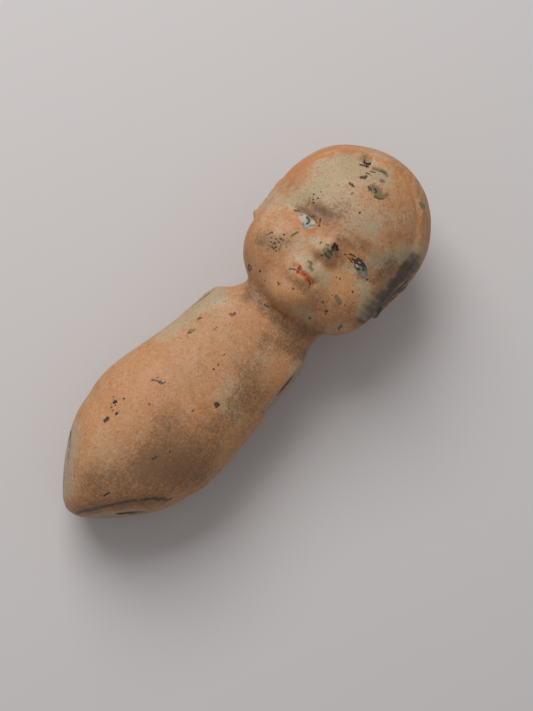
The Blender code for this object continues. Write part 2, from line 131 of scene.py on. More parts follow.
# %% Outline of the torso
# Height as a share of neck_height, then half width, front and back as shares of the half sizes.
torso_outline = np.array([
    (0.315, 0.931, 1.000, 0.985),
    (0.380, 0.979, 1.015, 0.960),
    (0.450, 0.997, 0.985, 0.910),
    (0.530, 0.968, 0.930, 0.880),
    (0.610, 0.923, 0.860, 0.885),
    (0.690, 0.884, 0.800, 0.920),
    (0.760, 0.865, 0.765, 0.955),
    (0.810, 0.884, 0.750, 0.950),
    (0.860, 0.905, 0.730, 0.930),
    (0.890, 0.889, 0.710, 0.890),
    (0.925, 0.794, 0.680, 0.810),
    (0.955, 0.688, 0.655, 0.750),
    (0.985, 0.632, 0.640, 0.710),
    (1.160, 0.610, 0.640, 0.690),
])

# %% Forms of the head
# Centre and radii as shares of the head's sizes, from the middle of the eye line.
head_forms = {
    "skull": ((0.0, 0.112, -0.016), (0.482, 0.468, 0.482)),
    "forehead": ((0.0, 0.190, 0.080), (0.400, 0.285, 0.358)),
    "jaw": ((0.0, -0.210, 0.065), (0.350, 0.210, 0.295)),
    "right_cheek": ((-0.206, -0.132, 0.170), (0.222, 0.190, 0.222)),
    "left_cheek": ((0.222, -0.132, 0.170), (0.222, 0.190, 0.222)),
    "chin": ((0.0, -0.318, 0.290), (0.125, 0.080, 0.125)),
    "muzzle": ((0.0, -0.205, 0.285), (0.155, 0.110, 0.155)),
}
fine_forms = {
    "nose_bridge": ((0.0, 0.020, 0.375), (0.046, 0.090, 0.070)),
    "nose_tip": ((0.0, -0.058, 0.412), (0.056, 0.048, 0.082)),
    "right_nostril": ((-0.046, -0.078, 0.415), (0.034, 0.027, 0.042)),
    "left_nostril": ((0.046, -0.078, 0.415), (0.034, 0.027, 0.042)),
    "right_ear": ((-0.440, 0.030, -0.030), (0.036, 0.115, 0.085)),
    "left_ear": ((0.440, 0.030, -0.030), (0.034, 0.115, 0.085)),
}
head_blend = 0.085 * head_width
fine_blend = 0.040 * head_width

# %% Relief of the head
# Soft hills and hollows: centre, radii, and height as a share of the head's width.
paired_relief = {
    "eye_socket": ((0.200, 0.010, 0.400), (0.125, 0.070, 0.110), -0.0300),
    "eyeball": ((0.200, 0.000, 0.400), (0.078, 0.040, 0.100), 0.0220),
    "upper_lid": ((0.200, 0.040, 0.400), (0.085, 0.016, 0.100), 0.0110),
    "brow": ((0.215, 0.118, 0.390), (0.130, 0.040, 0.100), 0.0090),
    "lip_peak": ((0.030, -0.198, 0.450), (0.040, 0.018, 0.080), 0.0120),
    "mouth_corner": ((0.078, -0.217, 0.440), (0.020, 0.018, 0.080), -0.0120),
    "ear_hollow": ((0.500, 0.040, -0.010), (0.040, 0.066, 0.048), -0.0300),
    "temple_groove": ((0.455, 0.090, 0.110), (0.050, 0.110, 0.040), -0.0180),
}
single_relief = {
    "philtrum": ((0.0, -0.140, 0.450), (0.020, 0.036, 0.080), -0.0080),
    "lower_lip": ((0.0, -0.243, 0.445), (0.046, 0.018, 0.080), 0.0155),
    "mouth_line": ((0.0, -0.218, 0.460), (0.062, 0.008, 0.080), -0.0130),
    "lip_fold": ((0.0, -0.290, 0.420), (0.075, 0.020, 0.080), -0.0120),
    "right_hair_lobe": ((-0.365, 0.330, 0.130), (0.130, 0.165, 0.220), 0.0280),
    "left_hair_lobe": ((0.200, 0.470, 0.100), (0.250, 0.130, 0.230), 0.0200),
    "left_side_lobe": ((0.430, 0.270, 0.020), (0.150, 0.150, 0.240), 0.0260),
    "forelock": ((-0.030, 0.490, 0.220), (0.060, 0.040, 0.080), 0.0120),
}
face_opening = ((0.024, -0.010, 0.290), (0.436, 0.514, 0.420))
hair_thickness = 0.020 * head_width
hair_edge = 0.060 * head_width
nape_height = -0.350 * head_height
parting = ((-0.250, 0.490, -0.060), (-0.152, 0.440, 0.270))
parting_width = 0.045 * head_width
parting_depth = 0.034 * head_width
cleft = ((0.0, 0.09, -0.95), (0.11, 0.17, 0.50))
cleft_depth = 0.11 * torso_depth / 2

# %% [markdown]
# ## The camera
#
# The photograph was taken from almost straight above, turned so that the doll lies across the frame. The
# camera is made first, because the painted details are placed by where they show in the photograph's
# frame of 533 by 711 pixels: each point of the skin knows which pixel it falls on from this one fixed
# place. The paint is then kept on the mesh itself, so it stays where it is from any other side.

# %% Camera at the photograph's angle
photo_width, photo_height = 533, 711
metres_per_pixel = 0.000245
camera_target = Vector(doll_place + np.array([-0.0010, 0.0607, 0.0160]))
camera_way = Vector((0.02, -0.15, 1.0)).normalized()
camera_distance = 0.33
doll_angle = math.radians(43.9)
target_pixel = (246.0, 333.0)
sensor_height = 24.0

level_y = (Vector((0, 1, 0)) - camera_way * camera_way.y).normalized()
level_x = level_y.cross(camera_way)
camera_right = level_y * math.cos(doll_angle) + level_x * math.sin(doll_angle)
camera_up = level_y * math.sin(doll_angle) - level_x * math.cos(doll_angle)
camera_place = camera_target + camera_way * camera_distance

camera_data = bpy.data.cameras.new("photo_camera")
camera_data.sensor_fit = "VERTICAL"
camera_data.sensor_height = sensor_height
camera_data.lens = sensor_height * camera_distance / (photo_height * metres_per_pixel)
camera_data.shift_x = -(target_pixel[0] - photo_width / 2) / photo_height
camera_data.shift_y = (target_pixel[1] - photo_height / 2) / photo_height
camera = bpy.data.objects.new("photo_camera", camera_data)
bpy.context.scene.collection.objects.link(camera)
turn = Matrix((camera_right, camera_up, camera_way)).transposed()
camera.matrix_world = Matrix.Translation(camera_place) @ turn.to_4x4()
bpy.context.scene.camera = camera
print("lens in mm", round(camera_data.lens, 2))


def photo_pixels(points):
    """Where points of the part's frame fall in the photograph's frame."""
    offsets = points - np.array(camera_place)
    depth = -offsets @ np.array(camera_way)
    scale = camera_data.lens / sensor_height * photo_height / depth
    across = target_pixel[0] + offsets @ np.array(camera_right) * scale
    down = target_pixel[1] - offsets @ np.array(camera_up) * scale
    return np.stack([across, down], axis=1)


# %% [markdown]
# ## The body as a field
#
# The body is soft all over: cheeks run into jaw, neck into shoulders. Patching such a shape from separate
# meshes leaves creases. It is easier as a field: a function that is negative inside the body, positive
# outside, and zero on the skin. Ellipsoids that melt into one another give the head, a rounded section
# that changes with height gives the torso, and small hills and hollows give the features.

# %% Building blocks of the field
def smooth_union(first, second, blend):
    overlap = np.maximum(blend - np.abs(first - second), 0.0) / blend
    return np.minimum(first, second) - overlap * overlap * blend / 4


def ellipsoid_field(points, centre, radii):
    unit = (points - centre) / radii
    reach = np.linalg.norm(unit, axis=1)
    slope = np.linalg.norm(unit / radii, axis=1)
    return reach * (reach - 1.0) / np.maximum(slope, tiny)


def bump(points, centre, radii):
    unit = (points - centre) / radii
    return np.exp(-np.sum(unit * unit, axis=1))


def smooth_step(value):
    share = np.clip(value, 0.0, 1.0)
    return share * share * (3 - 2 * share)


def distance_to_path(points, path):
    """Shortest distance to a path of straight pieces, or to its one point, in two or three dimensions."""
    path = np.array(path, float)
    if len(path) == 1:
        return np.linalg.norm(points - path[0], axis=1)
    nearest = np.full(len(points), np.inf)
    for start, end in zip(path, path[1:]):
        along = end - start
        share = np.clip((points - start) @ along / (along @ along), 0.0, 1.0)
        nearest = np.minimum(nearest, np.linalg.norm(points - start - share[:, None] * along, axis=1))
    return nearest


def smooth_curve(places, values, where):
    """A curve through the outline's points with no corner, held flat past its ends."""
    slopes = np.gradient(values, places)
    slopes[0] = 0.0
    where = np.clip(where, places[0], places[-1])
    index = np.clip(np.searchsorted(places, where) - 1, 0, len(places) - 2)
    span = places[index + 1] - places[index]
    t = (where - places[index]) / span
    start = (2 * t ** 3 - 3 * t ** 2 + 1) * values[index] + (t ** 3 - 2 * t ** 2 + t) * span * slopes[index]
    end = (3 * t ** 2 - 2 * t ** 3) * values[index + 1] + (t ** 3 - t ** 2) * span * slopes[index + 1]
    return start + end


# %% Torso
def torso_half_sizes(height):
    places = torso_outline[:, 0] * neck_height
    half_width = smooth_curve(places, torso_outline[:, 1], height) * torso_width / 2
    front = smooth_curve(places, torso_outline[:, 2], height) * torso_depth / 2
    back = smooth_curve(places, torso_outline[:, 3], height) * torso_depth / 2
    return half_width, front, back


def torso_field(points):
    height = points[:, 1]
    half_width, front, back = torso_half_sizes(height)
    depth = np.where(points[:, 2] > 0, front, back)
    below = np.minimum(height - pelvis_height, 0.0)
    terms = np.abs((points[:, 0] - torso_lean_share * height) / half_width) ** torso_corner_power
    terms += np.abs(points[:, 2] / depth) ** torso_corner_power
    terms += np.abs(below / pelvis_reach) ** torso_corner_power
    field = (terms ** (1 / torso_corner_power) - 1) * np.minimum(half_width, depth)
    return np.maximum(field, height - neck_height - neck_root_rise)


def leg_seat_normal(side):
    level = math.cos(leg_seat_pitch)
    return np.array([side * level * math.sin(leg_seat_slope), -level * math.cos(leg_seat_slope),
                     math.sin(leg_seat_pitch)])


def leg_seat_point(side):
    return np.array([side * crotch_half_width, -crotch_drop, 0.0])


def rounded_torso_field(points):
    """The torso with its edges rounded over where the leg seats will be cut."""
    field = torso_field(points)
    for side in (-1, 1):
        seat = (points - leg_seat_point(side)) @ leg_seat_normal(side) - leg_seat_allowance
        field = -smooth_union(-field, -seat, leg_seat_rounding)
    return field


def cleft_relief(points):
    """The shallow cleft between the buttocks."""
    half_sizes = np.array([torso_width / 2, neck_height, torso_depth / 2])
    centre, radii = (np.array(row) * half_sizes for row in cleft)
    return -bump(points, centre, radii) * cleft_depth


# %% Head
head_rotation = np.array(Matrix.Rotation(head_turn, 3, "Y") @ Matrix.Rotation(-head_lean, 3, "Z"))
head_origin = np.array([-eye_line_rise * math.sin(head_lean), neck_height + eye_line_rise, head_forward])
head_middle = head_origin * np.array([1, 1, 0])
pelvis_middle = np.array([torso_lean_share * pelvis_height, pelvis_height, 0.0])


def head_local(points):
    return (points - head_origin) @ head_rotation.T


def form_union(field, points, forms, blend):
    for centre, radii in forms.values():
        form = ellipsoid_field(points, np.array(centre) * head_sizes, np.array(radii) * head_sizes)
        field = smooth_union(field, form, blend) if field is not None else form
    return field


# %% [markdown]
# ## Ears and hair
#
# The moulder pressed the ears as low reliefs against the side of the head: a raised rim round a hollow,
# with a second ridge inside it. They are drawn as paths on the side of the head, in millimetres from the
# ear's middle, up and forward, and each path raises or sinks the skin beside it. The hair is a cap a
# little thicker than the skin, parted on the doll's right, with broad locks that run down from the crown.

# %% Ears
ear_place = (0.001, -0.001)
ear_size = (0.0066, 0.0048)
ear_rim = [(0.0003, 0.0014), (0.0036, 0.0024), (0.0053, 0.0004), (0.0042, -0.0024), (0.0008, -0.0033),
           (-0.0028, -0.0020), (-0.0050, 0.0002)]
ear_inner_ridge = [(0.0034, -0.0004), (0.0012, -0.0015), (-0.0018, -0.0010), (-0.0030, 0.0004)]
ear_strokes = [(ear_rim, 0.0009, 0.00042), (ear_inner_ridge, 0.0006, 0.00030),
               ([(-0.0006, 0.0024)], 0.0009, 0.00050), ([(-0.0052, 0.0004)], 0.0012, 0.00035),
               ([(-0.0004, 0.0002), (0.0012, 0.0008)], 0.0015, -0.00095),
               ([(0.0060, 0.0026), (0.0020, 0.0042), (-0.0040, 0.0036)], 0.0012, -0.00030),
               ([(0.0052, -0.0040), (0.0000, -0.0052), (-0.0050, -0.0030)], 0.0012, -0.00040)]
# How far out on the side of the head the ear starts, as shares of the head's width.
ear_gate = 0.36
ear_gate_width = 0.06


def ear_relief(local):
    side_on = local[:, [1, 2]] - np.array(ear_place)
    gate = smooth_step((np.abs(local[:, 0]) / head_width - ear_gate) / ear_gate_width)
    height = np.zeros(len(local))
    for path, width, amount in ear_strokes:
        height += amount * np.exp(-(distance_to_path(side_on, path) / width) ** 2)
    return height * gate


# %% Hair
lock_count = 22
lock_height = 0.00009
lock_wave = 0.010
lock_sway = 0.16
finer_share = 0.45
finer_sway_share = 0.7
finer_phase = 1.3
ear_clearance = 0.30
ear_clearance_width = 0.08


def hair_mask(local):
    """1 in the hair, 0 on the face and neck."""
    centre, radii = (np.array(row) * head_sizes for row in face_opening)
    outside = smooth_step(ellipsoid_field(local, centre, radii) / hair_edge + 0.5)
    above_nape = smooth_step((local[:, 1] - nape_height) / hair_edge / 2 + 0.5)
    return outside * above_nape


def ear_mask(local):
    """1 on the ears and close round them."""
    side_on = (local[:, [1, 2]] - np.array(ear_place)) / np.array(ear_size)
    beside = smooth_step((np.abs(local[:, 0]) / head_width - ear_clearance) / ear_clearance_width)
    return np.exp(-np.sum(side_on * side_on, axis=1) ** 2) * beside


def deep_hair(local):
    """1 well inside the hair, and 0 already at its edge and round the ears."""
    return smooth_step(hair_mask(local) * 2 - 1) * (1 - ear_mask(local))


def lock_relief(local):
    """Broad locks that run down from the crown, swaying as they go."""
    around = np.arctan2(local[:, 0], local[:, 2])
    sway = lock_sway * np.sin(local[:, 1] / lock_wave)
    main = np.sin(lock_count * (around + sway))
    finer = np.sin((2 * lock_count + 3) * (around + finer_sway_share * sway) + finer_phase)
    from_crown = np.hypot(local[:, 0], local[:, 2]) / (head_width / 2)
    return lock_height * (main + finer_share * finer) * smooth_step(from_crown * 1.6 - 0.2)


def hair_relief(local):
    mask = hair_mask(local)
    near = distance_to_path(local, [np.array(row) * head_sizes for row in parting]) / parting_width
    locks = lock_relief(local) * deep_hair(local)
    return hair_thickness * mask + locks - parting_depth * np.exp(-near * near)


def head_relief(local):
    height = np.zeros(len(local))
    for centre, radii, amount in paired_relief.values():
        for side in (-1, 1):
            place = np.array(centre) * head_sizes * np.array([side, 1, 1])
            height += bump(local, place, np.array(radii) * head_sizes) * amount * head_width
    for centre, radii, amount in single_relief.values():
        place = np.array(centre) * head_sizes
        height += bump(local, place, np.array(radii) * head_sizes) * amount * head_width
    return height + hair_relief(local) + ear_relief(local)


def plain_head_field(points):
    return form_union(None, head_local(points), head_forms, head_blend)


def body_field(points):
    local = head_local(points)
    head = form_union(plain_head_field(points), local, fine_forms, fine_blend)
    torso = rounded_torso_field(points) - cleft_relief(points)
    return smooth_union(head - head_relief(local), torso, neck_blend)


# %% [markdown]
# ## Seats and the hollow inside
#
# Arms and legs of a strung doll turn on flat seats, each with a shallow dish, and an elastic cord runs
# through the body from seat to seat. The inside of the shell follows the outside at the thickness of the
# wall.

# %% Seats
def arm_seat_normal(side):
    level = math.cos(arm_seat_pitch)
    return np.array([side * level * math.cos(arm_seat_yaw), level * math.sin(arm_seat_yaw),
                     math.sin(arm_seat_pitch)])


def arm_seat_point(side):
    return np.array([side * arm_seat_reach, neck_height - arm_seat_drop, 0.0])


def leg_seat_centre(side):
    along = np.array([side * math.cos(leg_seat_slope), math.sin(leg_seat_slope), 0.0])
    return leg_seat_point(side) + along * leg_seat_middle


def cavity_field(points):
    torso = torso_field(points)
    for side in (-1, 1):
        for point, normal in ((leg_seat_point(side), leg_seat_normal(side)),
                              (arm_seat_point(side), arm_seat_normal(side))):
            torso = -smooth_union(-torso, -((points - point) @ normal), wall)
    return smooth_union(plain_head_field(points), torso, neck_blend) + wall


# %% [markdown]
# ## From field to mesh
#
# A globe from `bmesh.ops.create_uvsphere` is blown up like a balloon until it meets the skin: each of its
# circles of latitude starts from a point on the body's middle line and every vertex walks outward along
# its own ray until the field says it has arrived. The rings crowd together towards the face, where the
# small forms are.

# %% Rays of the balloon
outer_counts = ((130, 50, 18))
outer_segments = 168
inner_counts = (26, 12, 5)
inner_segments = 44
bridge_rings = 3
crowding = 0.42
ring_crowding_power = 0.85
walk_steps = 60
walk_share = 0.6
settle_rounds = 5
settle_probe = wall / 40
least_slope = 0.05


def last_head_polar():
    half_width, front, back = torso_half_sizes(np.array([neck_height]))
    return math.pi - math.atan2(half_width[0] + neck_clearance, eye_line_rise)


def ring_starts(head_rings, torso_rings, base_rings):
    """Start point and polar angle of each ring, from below the crown to above the crotch."""
    aside = np.array([torso_lean_share * neck_height - head_middle[0], 0.0, 0.0])
    rows = []
    for share in np.linspace(0, 1, head_rings + 1)[1:]:
        rows.append((head_middle + aside * share * share, last_head_polar() * share ** ring_crowding_power))
    for height in np.linspace(neck_height - neck_blend / 2, pelvis_height, torso_rings):
        rows.append((np.array([torso_lean_share * height, height, 0.0]), math.pi / 2))
    for polar in np.linspace(math.pi / 2, math.pi, base_rings + 2)[1:-1]:
        rows.append((pelvis_middle, polar))
    return rows


def first_exit(field, origins, directions):
    reach = np.zeros(len(origins))
    for _ in range(walk_steps):
        depth = -field(origins + reach[:, None] * directions)
        reach += np.clip(depth * walk_share, -wall, wall)
    return origins + reach[:, None] * directions


def field_slope(field, points, probe):
    slope = np.zeros_like(points)
    for axis in range(3):
        step = np.zeros(3)
        step[axis] = probe
        slope[:, axis] = (field(points + step) - field(points - step)) / (2 * probe)
    return slope


def settle(field, points, rounds=settle_rounds):
    """Moves points along the field's slope onto the surface."""
    for _ in range(rounds):
        slope = field_slope(field, points, settle_probe)
        steepness = np.maximum(np.sum(slope * slope, axis=1), least_slope)
        points = points - slope * (field(points) / steepness)[:, None]
    return points


# %% Rings on the skin
def surface_rings(field, counts, segments):
    angles = (np.arange(segments) + 0.5) / segments * 2 * math.pi - math.pi
    angles = angles - crowding * np.sin(angles)
    starts = ring_starts(*counts)
    origins = np.concatenate([np.tile(centre, (segments, 1)) for centre, polar in starts])
    sweeps = [np.stack([np.sin(angles) * math.sin(polar), np.full(segments, math.cos(polar)),
                        np.cos(angles) * math.sin(polar)], axis=1) for centre, polar in starts]
    rings = first_exit(field, origins, np.concatenate(sweeps)).reshape(len(starts), segments, 3)
    joint = counts[0]
    shares = (np.arange(bridge_rings) + 1) / (bridge_rings + 1)
    between = rings[joint - 1] * (1 - shares[:, None, None]) + rings[joint] * shares[:, None, None]
    between = settle(field, between.reshape(-1, 3)).reshape(bridge_rings, segments, 3)
    rings = np.concatenate([rings[:joint], between, rings[joint:]])
    poles = first_exit(field, np.array([head_middle, pelvis_middle]),
                       np.array([(0.0, 1.0, 0.0), (0.0, -1.0, 0.0)]))
    return rings, poles


def link_object(name, mesh):
    data = bpy.data.meshes.new(name)
    mesh.to_mesh(data)
    mesh.free()
    item = bpy.data.objects.new(name, data)
    bpy.context.scene.collection.objects.link(item)
    return item


def wrapped_globe(name, field, counts, segments):
    rings, poles = surface_rings(field, counts, segments)
    mesh = bmesh.new()
    rows = len(rings) + 1
    bmesh.ops.create_uvsphere(mesh, u_segments=segments, v_segments=rows, radius=1.0)
    for vert in mesh.verts:
        row = round(math.acos(max(-1.0, min(1.0, vert.co.z))) / math.pi * rows)
        column = round(math.atan2(vert.co.y, vert.co.x) / (2 * math.pi) * segments) % segments
        vert.co = poles[0] if row == 0 else poles[1] if row == rows else rings[row - 1, column]
    bmesh.ops.recalc_face_normals(mesh, faces=mesh.faces)
    return link_object(name, mesh)


body = wrapped_globe("body", body_field, outer_counts, outer_segments)
cavity = wrapped_globe("cavity", cavity_field, inner_counts, inner_segments)
print("skin faces", len(body.data.polygons), "cavity faces", len(cavity.data.polygons))

# %% [markdown]
# ## Cutting the seats and string ways
#
# Flat seats, their dishes, the two string ways and the pin hole of a hair ribbon are cut out with Boolean
# modifiers, as a maker would file and drill them. The exact solver keeps the cut edges clean.

# %% Cutting tools
def facing(normal):
    z_axis = Vector(normal).normalized()
    x_axis = Vector((0, 1, 0)).cross(z_axis).normalized()
    return Matrix((x_axis, z_axis.cross(x_axis), z_axis)).transposed()


def place_mesh(mesh, place, turn):
    bmesh.ops.transform(mesh, matrix=Matrix.Translation(place) @ turn.to_4x4(), verts=mesh.verts)


def block_cutter(name, size, place, turn):
    mesh = bmesh.new()
    bmesh.ops.create_cube(mesh, size=1.0)
    bmesh.ops.scale(mesh, vec=size, verts=mesh.verts)
    place_mesh(mesh, place, turn)
    return link_object(name, mesh)


def rod_cutter(name, diameter, start, end, segments):
    along = Vector(end) - Vector(start)
    mesh = bmesh.new()
    bmesh.ops.create_cone(mesh, cap_ends=True, segments=segments, radius1=diameter / 2, radius2=diameter / 2,
                          depth=along.length)
    place_mesh(mesh, (Vector(start) + Vector(end)) / 2, facing(along))
    return link_object(name, mesh)


def dish_cutter(name, diameter, depth, place, normal):
    """A lens-shaped plug, spun from its outline, that sinks a shallow dish."""
    radius = (diameter * diameter / 4 + depth * depth) / (2 * depth)
    half_angle = math.asin(diameter / 2 / radius) * dish_arc_share
    mesh = bmesh.new()
    outline = [mesh.verts.new((0, 0, -depth))]
    for ring in range(1, dish_rings + 1):
        angle = half_angle * ring / dish_rings
        rise = radius - depth - radius * math.cos(angle)
        outline.append(mesh.verts.new((radius * math.sin(angle), 0, rise)))
    outline.append(mesh.verts.new((outline[-1].co.x, 0, cut_overrun)))
    outline.append(mesh.verts.new((0, 0, cut_overrun)))
    edges = [mesh.edges.new(pair) for pair in zip(outline, outline[1:])]
    bmesh.ops.spin(mesh, geom=outline + edges, cent=(0, 0, 0), axis=(0, 0, 1), angle=2 * math.pi,
                   steps=way_segments, use_merge=True)
    bmesh.ops.remove_doubles(mesh, verts=mesh.verts, dist=depth / 100)
    half_step = Matrix.Rotation(math.pi / way_segments, 3, "Z")
    bmesh.ops.rotate(mesh, verts=mesh.verts, cent=(0, 0, 0), matrix=half_step)
    bmesh.ops.recalc_face_normals(mesh, faces=mesh.faces)
    place_mesh(mesh, Vector(place), facing(normal))
    return link_object(name, mesh)


# %% Make the cutters
reach = torso_width / 2 + cut_overrun
cutters = [cavity]
for name, height, diameter in (("arm_way", neck_height - arm_seat_drop, arm_way_diameter),
                               ("leg_way", leg_way_height, leg_way_diameter)):
    cutters.append(rod_cutter(name, diameter, (-reach, height, 0.0), (reach, height, 0.0), way_segments))
hole_local = np.array(parting[1]) * head_sizes
hole_way = hole_local @ head_rotation + head_origin - head_middle
hole_way /= np.linalg.norm(hole_way)
hole_mouth = first_exit(body_field, head_middle[None], hole_way[None])[0]
cutters.append(rod_cutter("ribbon_hole", ribbon_hole_diameter, hole_mouth - hole_way * ribbon_hole_depth,
                          hole_mouth + hole_way * cut_overrun, ribbon_hole_segments))
for side, word in ((-1, "right"), (1, "left")):
    leg = (leg_seat_centre(side), leg_seat_normal(side), neck_height, leg_dish_diameter, leg_dish_depth)
    arm = (arm_seat_point(side), arm_seat_normal(side), arm_seat_length, arm_dish_diameter, arm_dish_depth)
    for limb, (place, normal, length, diameter, depth) in (("leg", leg), ("arm", arm)):
        middle = Vector(place) + Vector(normal) * torso_width / 2
        plane_size = (torso_width, length, torso_width)
        cutters.append(block_cutter(f"{word}_{limb}_plane", plane_size, middle, facing(normal)))
        cutters.append(dish_cutter(f"{word}_{limb}_dish", diameter, depth, place, normal))
print("cutters", len(cutters))


# %% Cut the body
def cut(target, tools):
    for tool in tools:
        modifier = target.modifiers.new(tool.name, "BOOLEAN")
        modifier.operation = "DIFFERENCE"
        modifier.solver = "EXACT"
        modifier.object = tool
    bpy.context.view_layer.update()
    data = bpy.data.meshes.new_from_object(target.evaluated_get(bpy.context.evaluated_depsgraph_get()))
    target.modifiers.clear()
    target.data = data
    for tool in tools:
        bpy.data.objects.remove(tool, do_unlink=True)


cut(body, cutters)
print("hollow body faces", len(body.data.polygons))

# %% Split it into the two pressed halves
halves = {}
span = 2 * (neck_height + eye_line_rise + head_height)
for name, side in (("front_shell", 1), ("back_shell", -1)):
    half = body.copy()
    half.data = body.data.copy()
    half.name = name
    bpy.context.scene.collection.objects.link(half)
    tool = block_cutter(name + "_cut", (span, span, span), Vector((0, 0, -side * (span / 2 - seam_gap / 2))),
                        Matrix.Identity(3))
    cut(half, [tool])
    halves[name] = half
bpy.data.objects.remove(body, do_unlink=True)
print("half faces", {name: len(half.data.polygons) for name, half in halves.items()})

# %% [markdown]
# ## Where the paint and damage are
#
# Every chip, brush stroke and rubbed patch is written down as a short path or a point in the photograph's
# frame, with its radius, both in pixels of about a quarter of a millimetre. The colours are judged. First
# come the small marks with a hard edge. Each has a colour, how ragged its edge is, and how deep it goes.

# %% Paint colours
def linear(code):
    """An sRGB hex colour as the linear numbers that Blender's sockets and attributes hold."""
    values = [int(code[i:i + 2], 16) / 255 for i in (1, 3, 5)]
    return [v / 12.92 if v <= 0.04045 else ((v + 0.055) / 1.055) ** 2.4 for v in values]


paint = {
    "pit_black": "#1d1610", "pit_brown": "#4d3a25", "pit_olive": "#75674a", "soot": "#54463a",
    "lash_brown": "#41311f", "lip_red": "#9a3f19", "lip_orange": "#b0643a", "lip_dark": "#5c170a",
    "eye_white": "#a99e8d", "eye_grey": "#817e72", "eye_teal": "#697066", "eye_deep": "#37362d",
    "pupil": "#211f1a", "glint": "#ada699", "orange_rub": "#b4703f", "ring_ink": "#443b30",
    "rust": "#7d3a18", "hair_line": "#b27441",
}


def dots(color, ragged, depth, spots):
    """Marks of one kind, each from its place and radius in pixels."""
    return [([(across, down)], radius, color, ragged, depth) for across, down, radius in spots]


# %% Eyes
# Each row is a path, radius, colour, raggedness of the edge, and depth in metres. The doll's right eye is the
# upper one in the photograph. Whites first, then iris, pupil, glints and lash lines.
eye_marks = [
    ([(297.5, 214), (297.5, 219), (298, 222)], 1.6, "orange_rub", 0.5, 0),
    ([(308, 231.5), (313, 231), (317, 227)], 1.9, "orange_rub", 0.7, 0),
    ([(302.2, 217.2), (303.4, 220.6), (306.6, 223.4), (311.4, 224.6)], 3.9, "eye_white", 0.12, 0),
    ([(303, 226.6), (306.5, 228.4)], 1.5, "eye_grey", 0.3, 0),
    ([(300.2, 223), (303.5, 225)], 1.1, "eye_teal", 0.5, 0),
    ([(312.4, 226), (314.6, 225.2)], 1.2, "eye_grey", 0.4, 0),
    ([(300.4, 215), (302.4, 214.8)], 0.9, "eye_teal", 0.5, 0),
    ([(303.4, 222.8), (303.7, 225)], 0.6, "eye_teal", 0.5, 0),
    ([(307.2, 217.4), (308.8, 219.4), (309.2, 221.2)], 1.4, "pupil", 0.3, 0),
    ([(306.8, 223.8), (308.2, 223)], 1.1, "pupil", 0.3, 0),
    ([(299, 220.4), (300.6, 223.4)], 0.9, "orange_rub", 0.7, 0),
    ([(306.9, 219.8), (307.2, 221.4)], 0.8, "eye_grey", 0.3, 0),
    ([(309.2, 226.2), (311, 225.2)], 0.5, "soot", 0.4, 0),
    ([(312.4, 222.2), (313.4, 223)], 0.8, "glint", 0.3, 0),
    ([(295.4, 211), (297.4, 210.6), (299, 211)], 1, "lash_brown", 0.4, 0),
    ([(299.5, 212), (304, 212.9), (308.5, 214.9), (312.5, 217.8)], 0.55, "soot", 0.5, 0),
    ([(313, 216.4), (314.4, 216.2)], 0.6, "lash_brown", 0.5, 0),
    ([(313.6, 218.6), (316, 221.2), (317.4, 223)], 0.6, "lash_brown", 0.6, 0),
    ([(318.6, 225.4), (319.4, 225.9)], 0.9, "pit_black", 0.4, 0.00005),
    ([(320.4, 219), (320.5, 220.4)], 0.75, "pit_brown", 0.4, 0.00005),
    ([(345, 254), (348, 257), (350.4, 260.4), (352.4, 262.6)], 0.55, "lash_brown", 0.4, 0),
    ([(347.6, 255.4), (350.6, 257), (352.6, 258.4)], 1.5, "orange_rub", 0.5, 0),
    ([(349.8, 254), (352.6, 255), (355, 256.8)], 0.8, "pit_black", 0.4, 0),
    ([(352.2, 258.6), (354.4, 260.4)], 1.1, "lash_brown", 0.5, 0),
    ([(357.6, 261.6), (357.8, 265.2), (360, 268.6)], 3.5, "eye_deep", 0.2, 0),
    ([(359, 260.4), (362.4, 264.4), (364.4, 269)], 2, "eye_deep", 0.3, 0),
    ([(359.6, 271.8), (362, 273), (364.6, 274.2)], 2.2, "eye_grey", 0.3, 0),
    ([(365.4, 268), (366.6, 271), (366.4, 274.4)], 1.1, "eye_teal", 0.3, 0),
    ([(356.2, 268), (358.2, 271.4), (361, 273.6)], 0.8, "eye_teal", 0.5, 0),
    ([(356.4, 265.2), (357.8, 266.6)], 1.05, "glint", 0.4, 0),
    ([(358.8, 262.4), (360, 263.2)], 0.65, "glint", 0.5, 0),
    ([(360, 266.8), (361.6, 268.4)], 1.1, "eye_grey", 0.5, 0),
    ([(357, 262.8), (358, 263.4)], 0.8, "pupil", 0.3, 0),
    ([(360.2, 264.2), (360.8, 265.2)], 0.8, "pupil", 0.3, 0),
    ([(357.2, 268.6), (359, 269.9)], 0.8, "pupil", 0.3, 0),
    ([(358, 258.4), (361.5, 261), (364.4, 265.2), (366.4, 269)], 0.7, "lash_brown", 0.5, 0),
    ([(367.2, 279.4)], 0.9, "lash_brown", 0.4, 0),
]

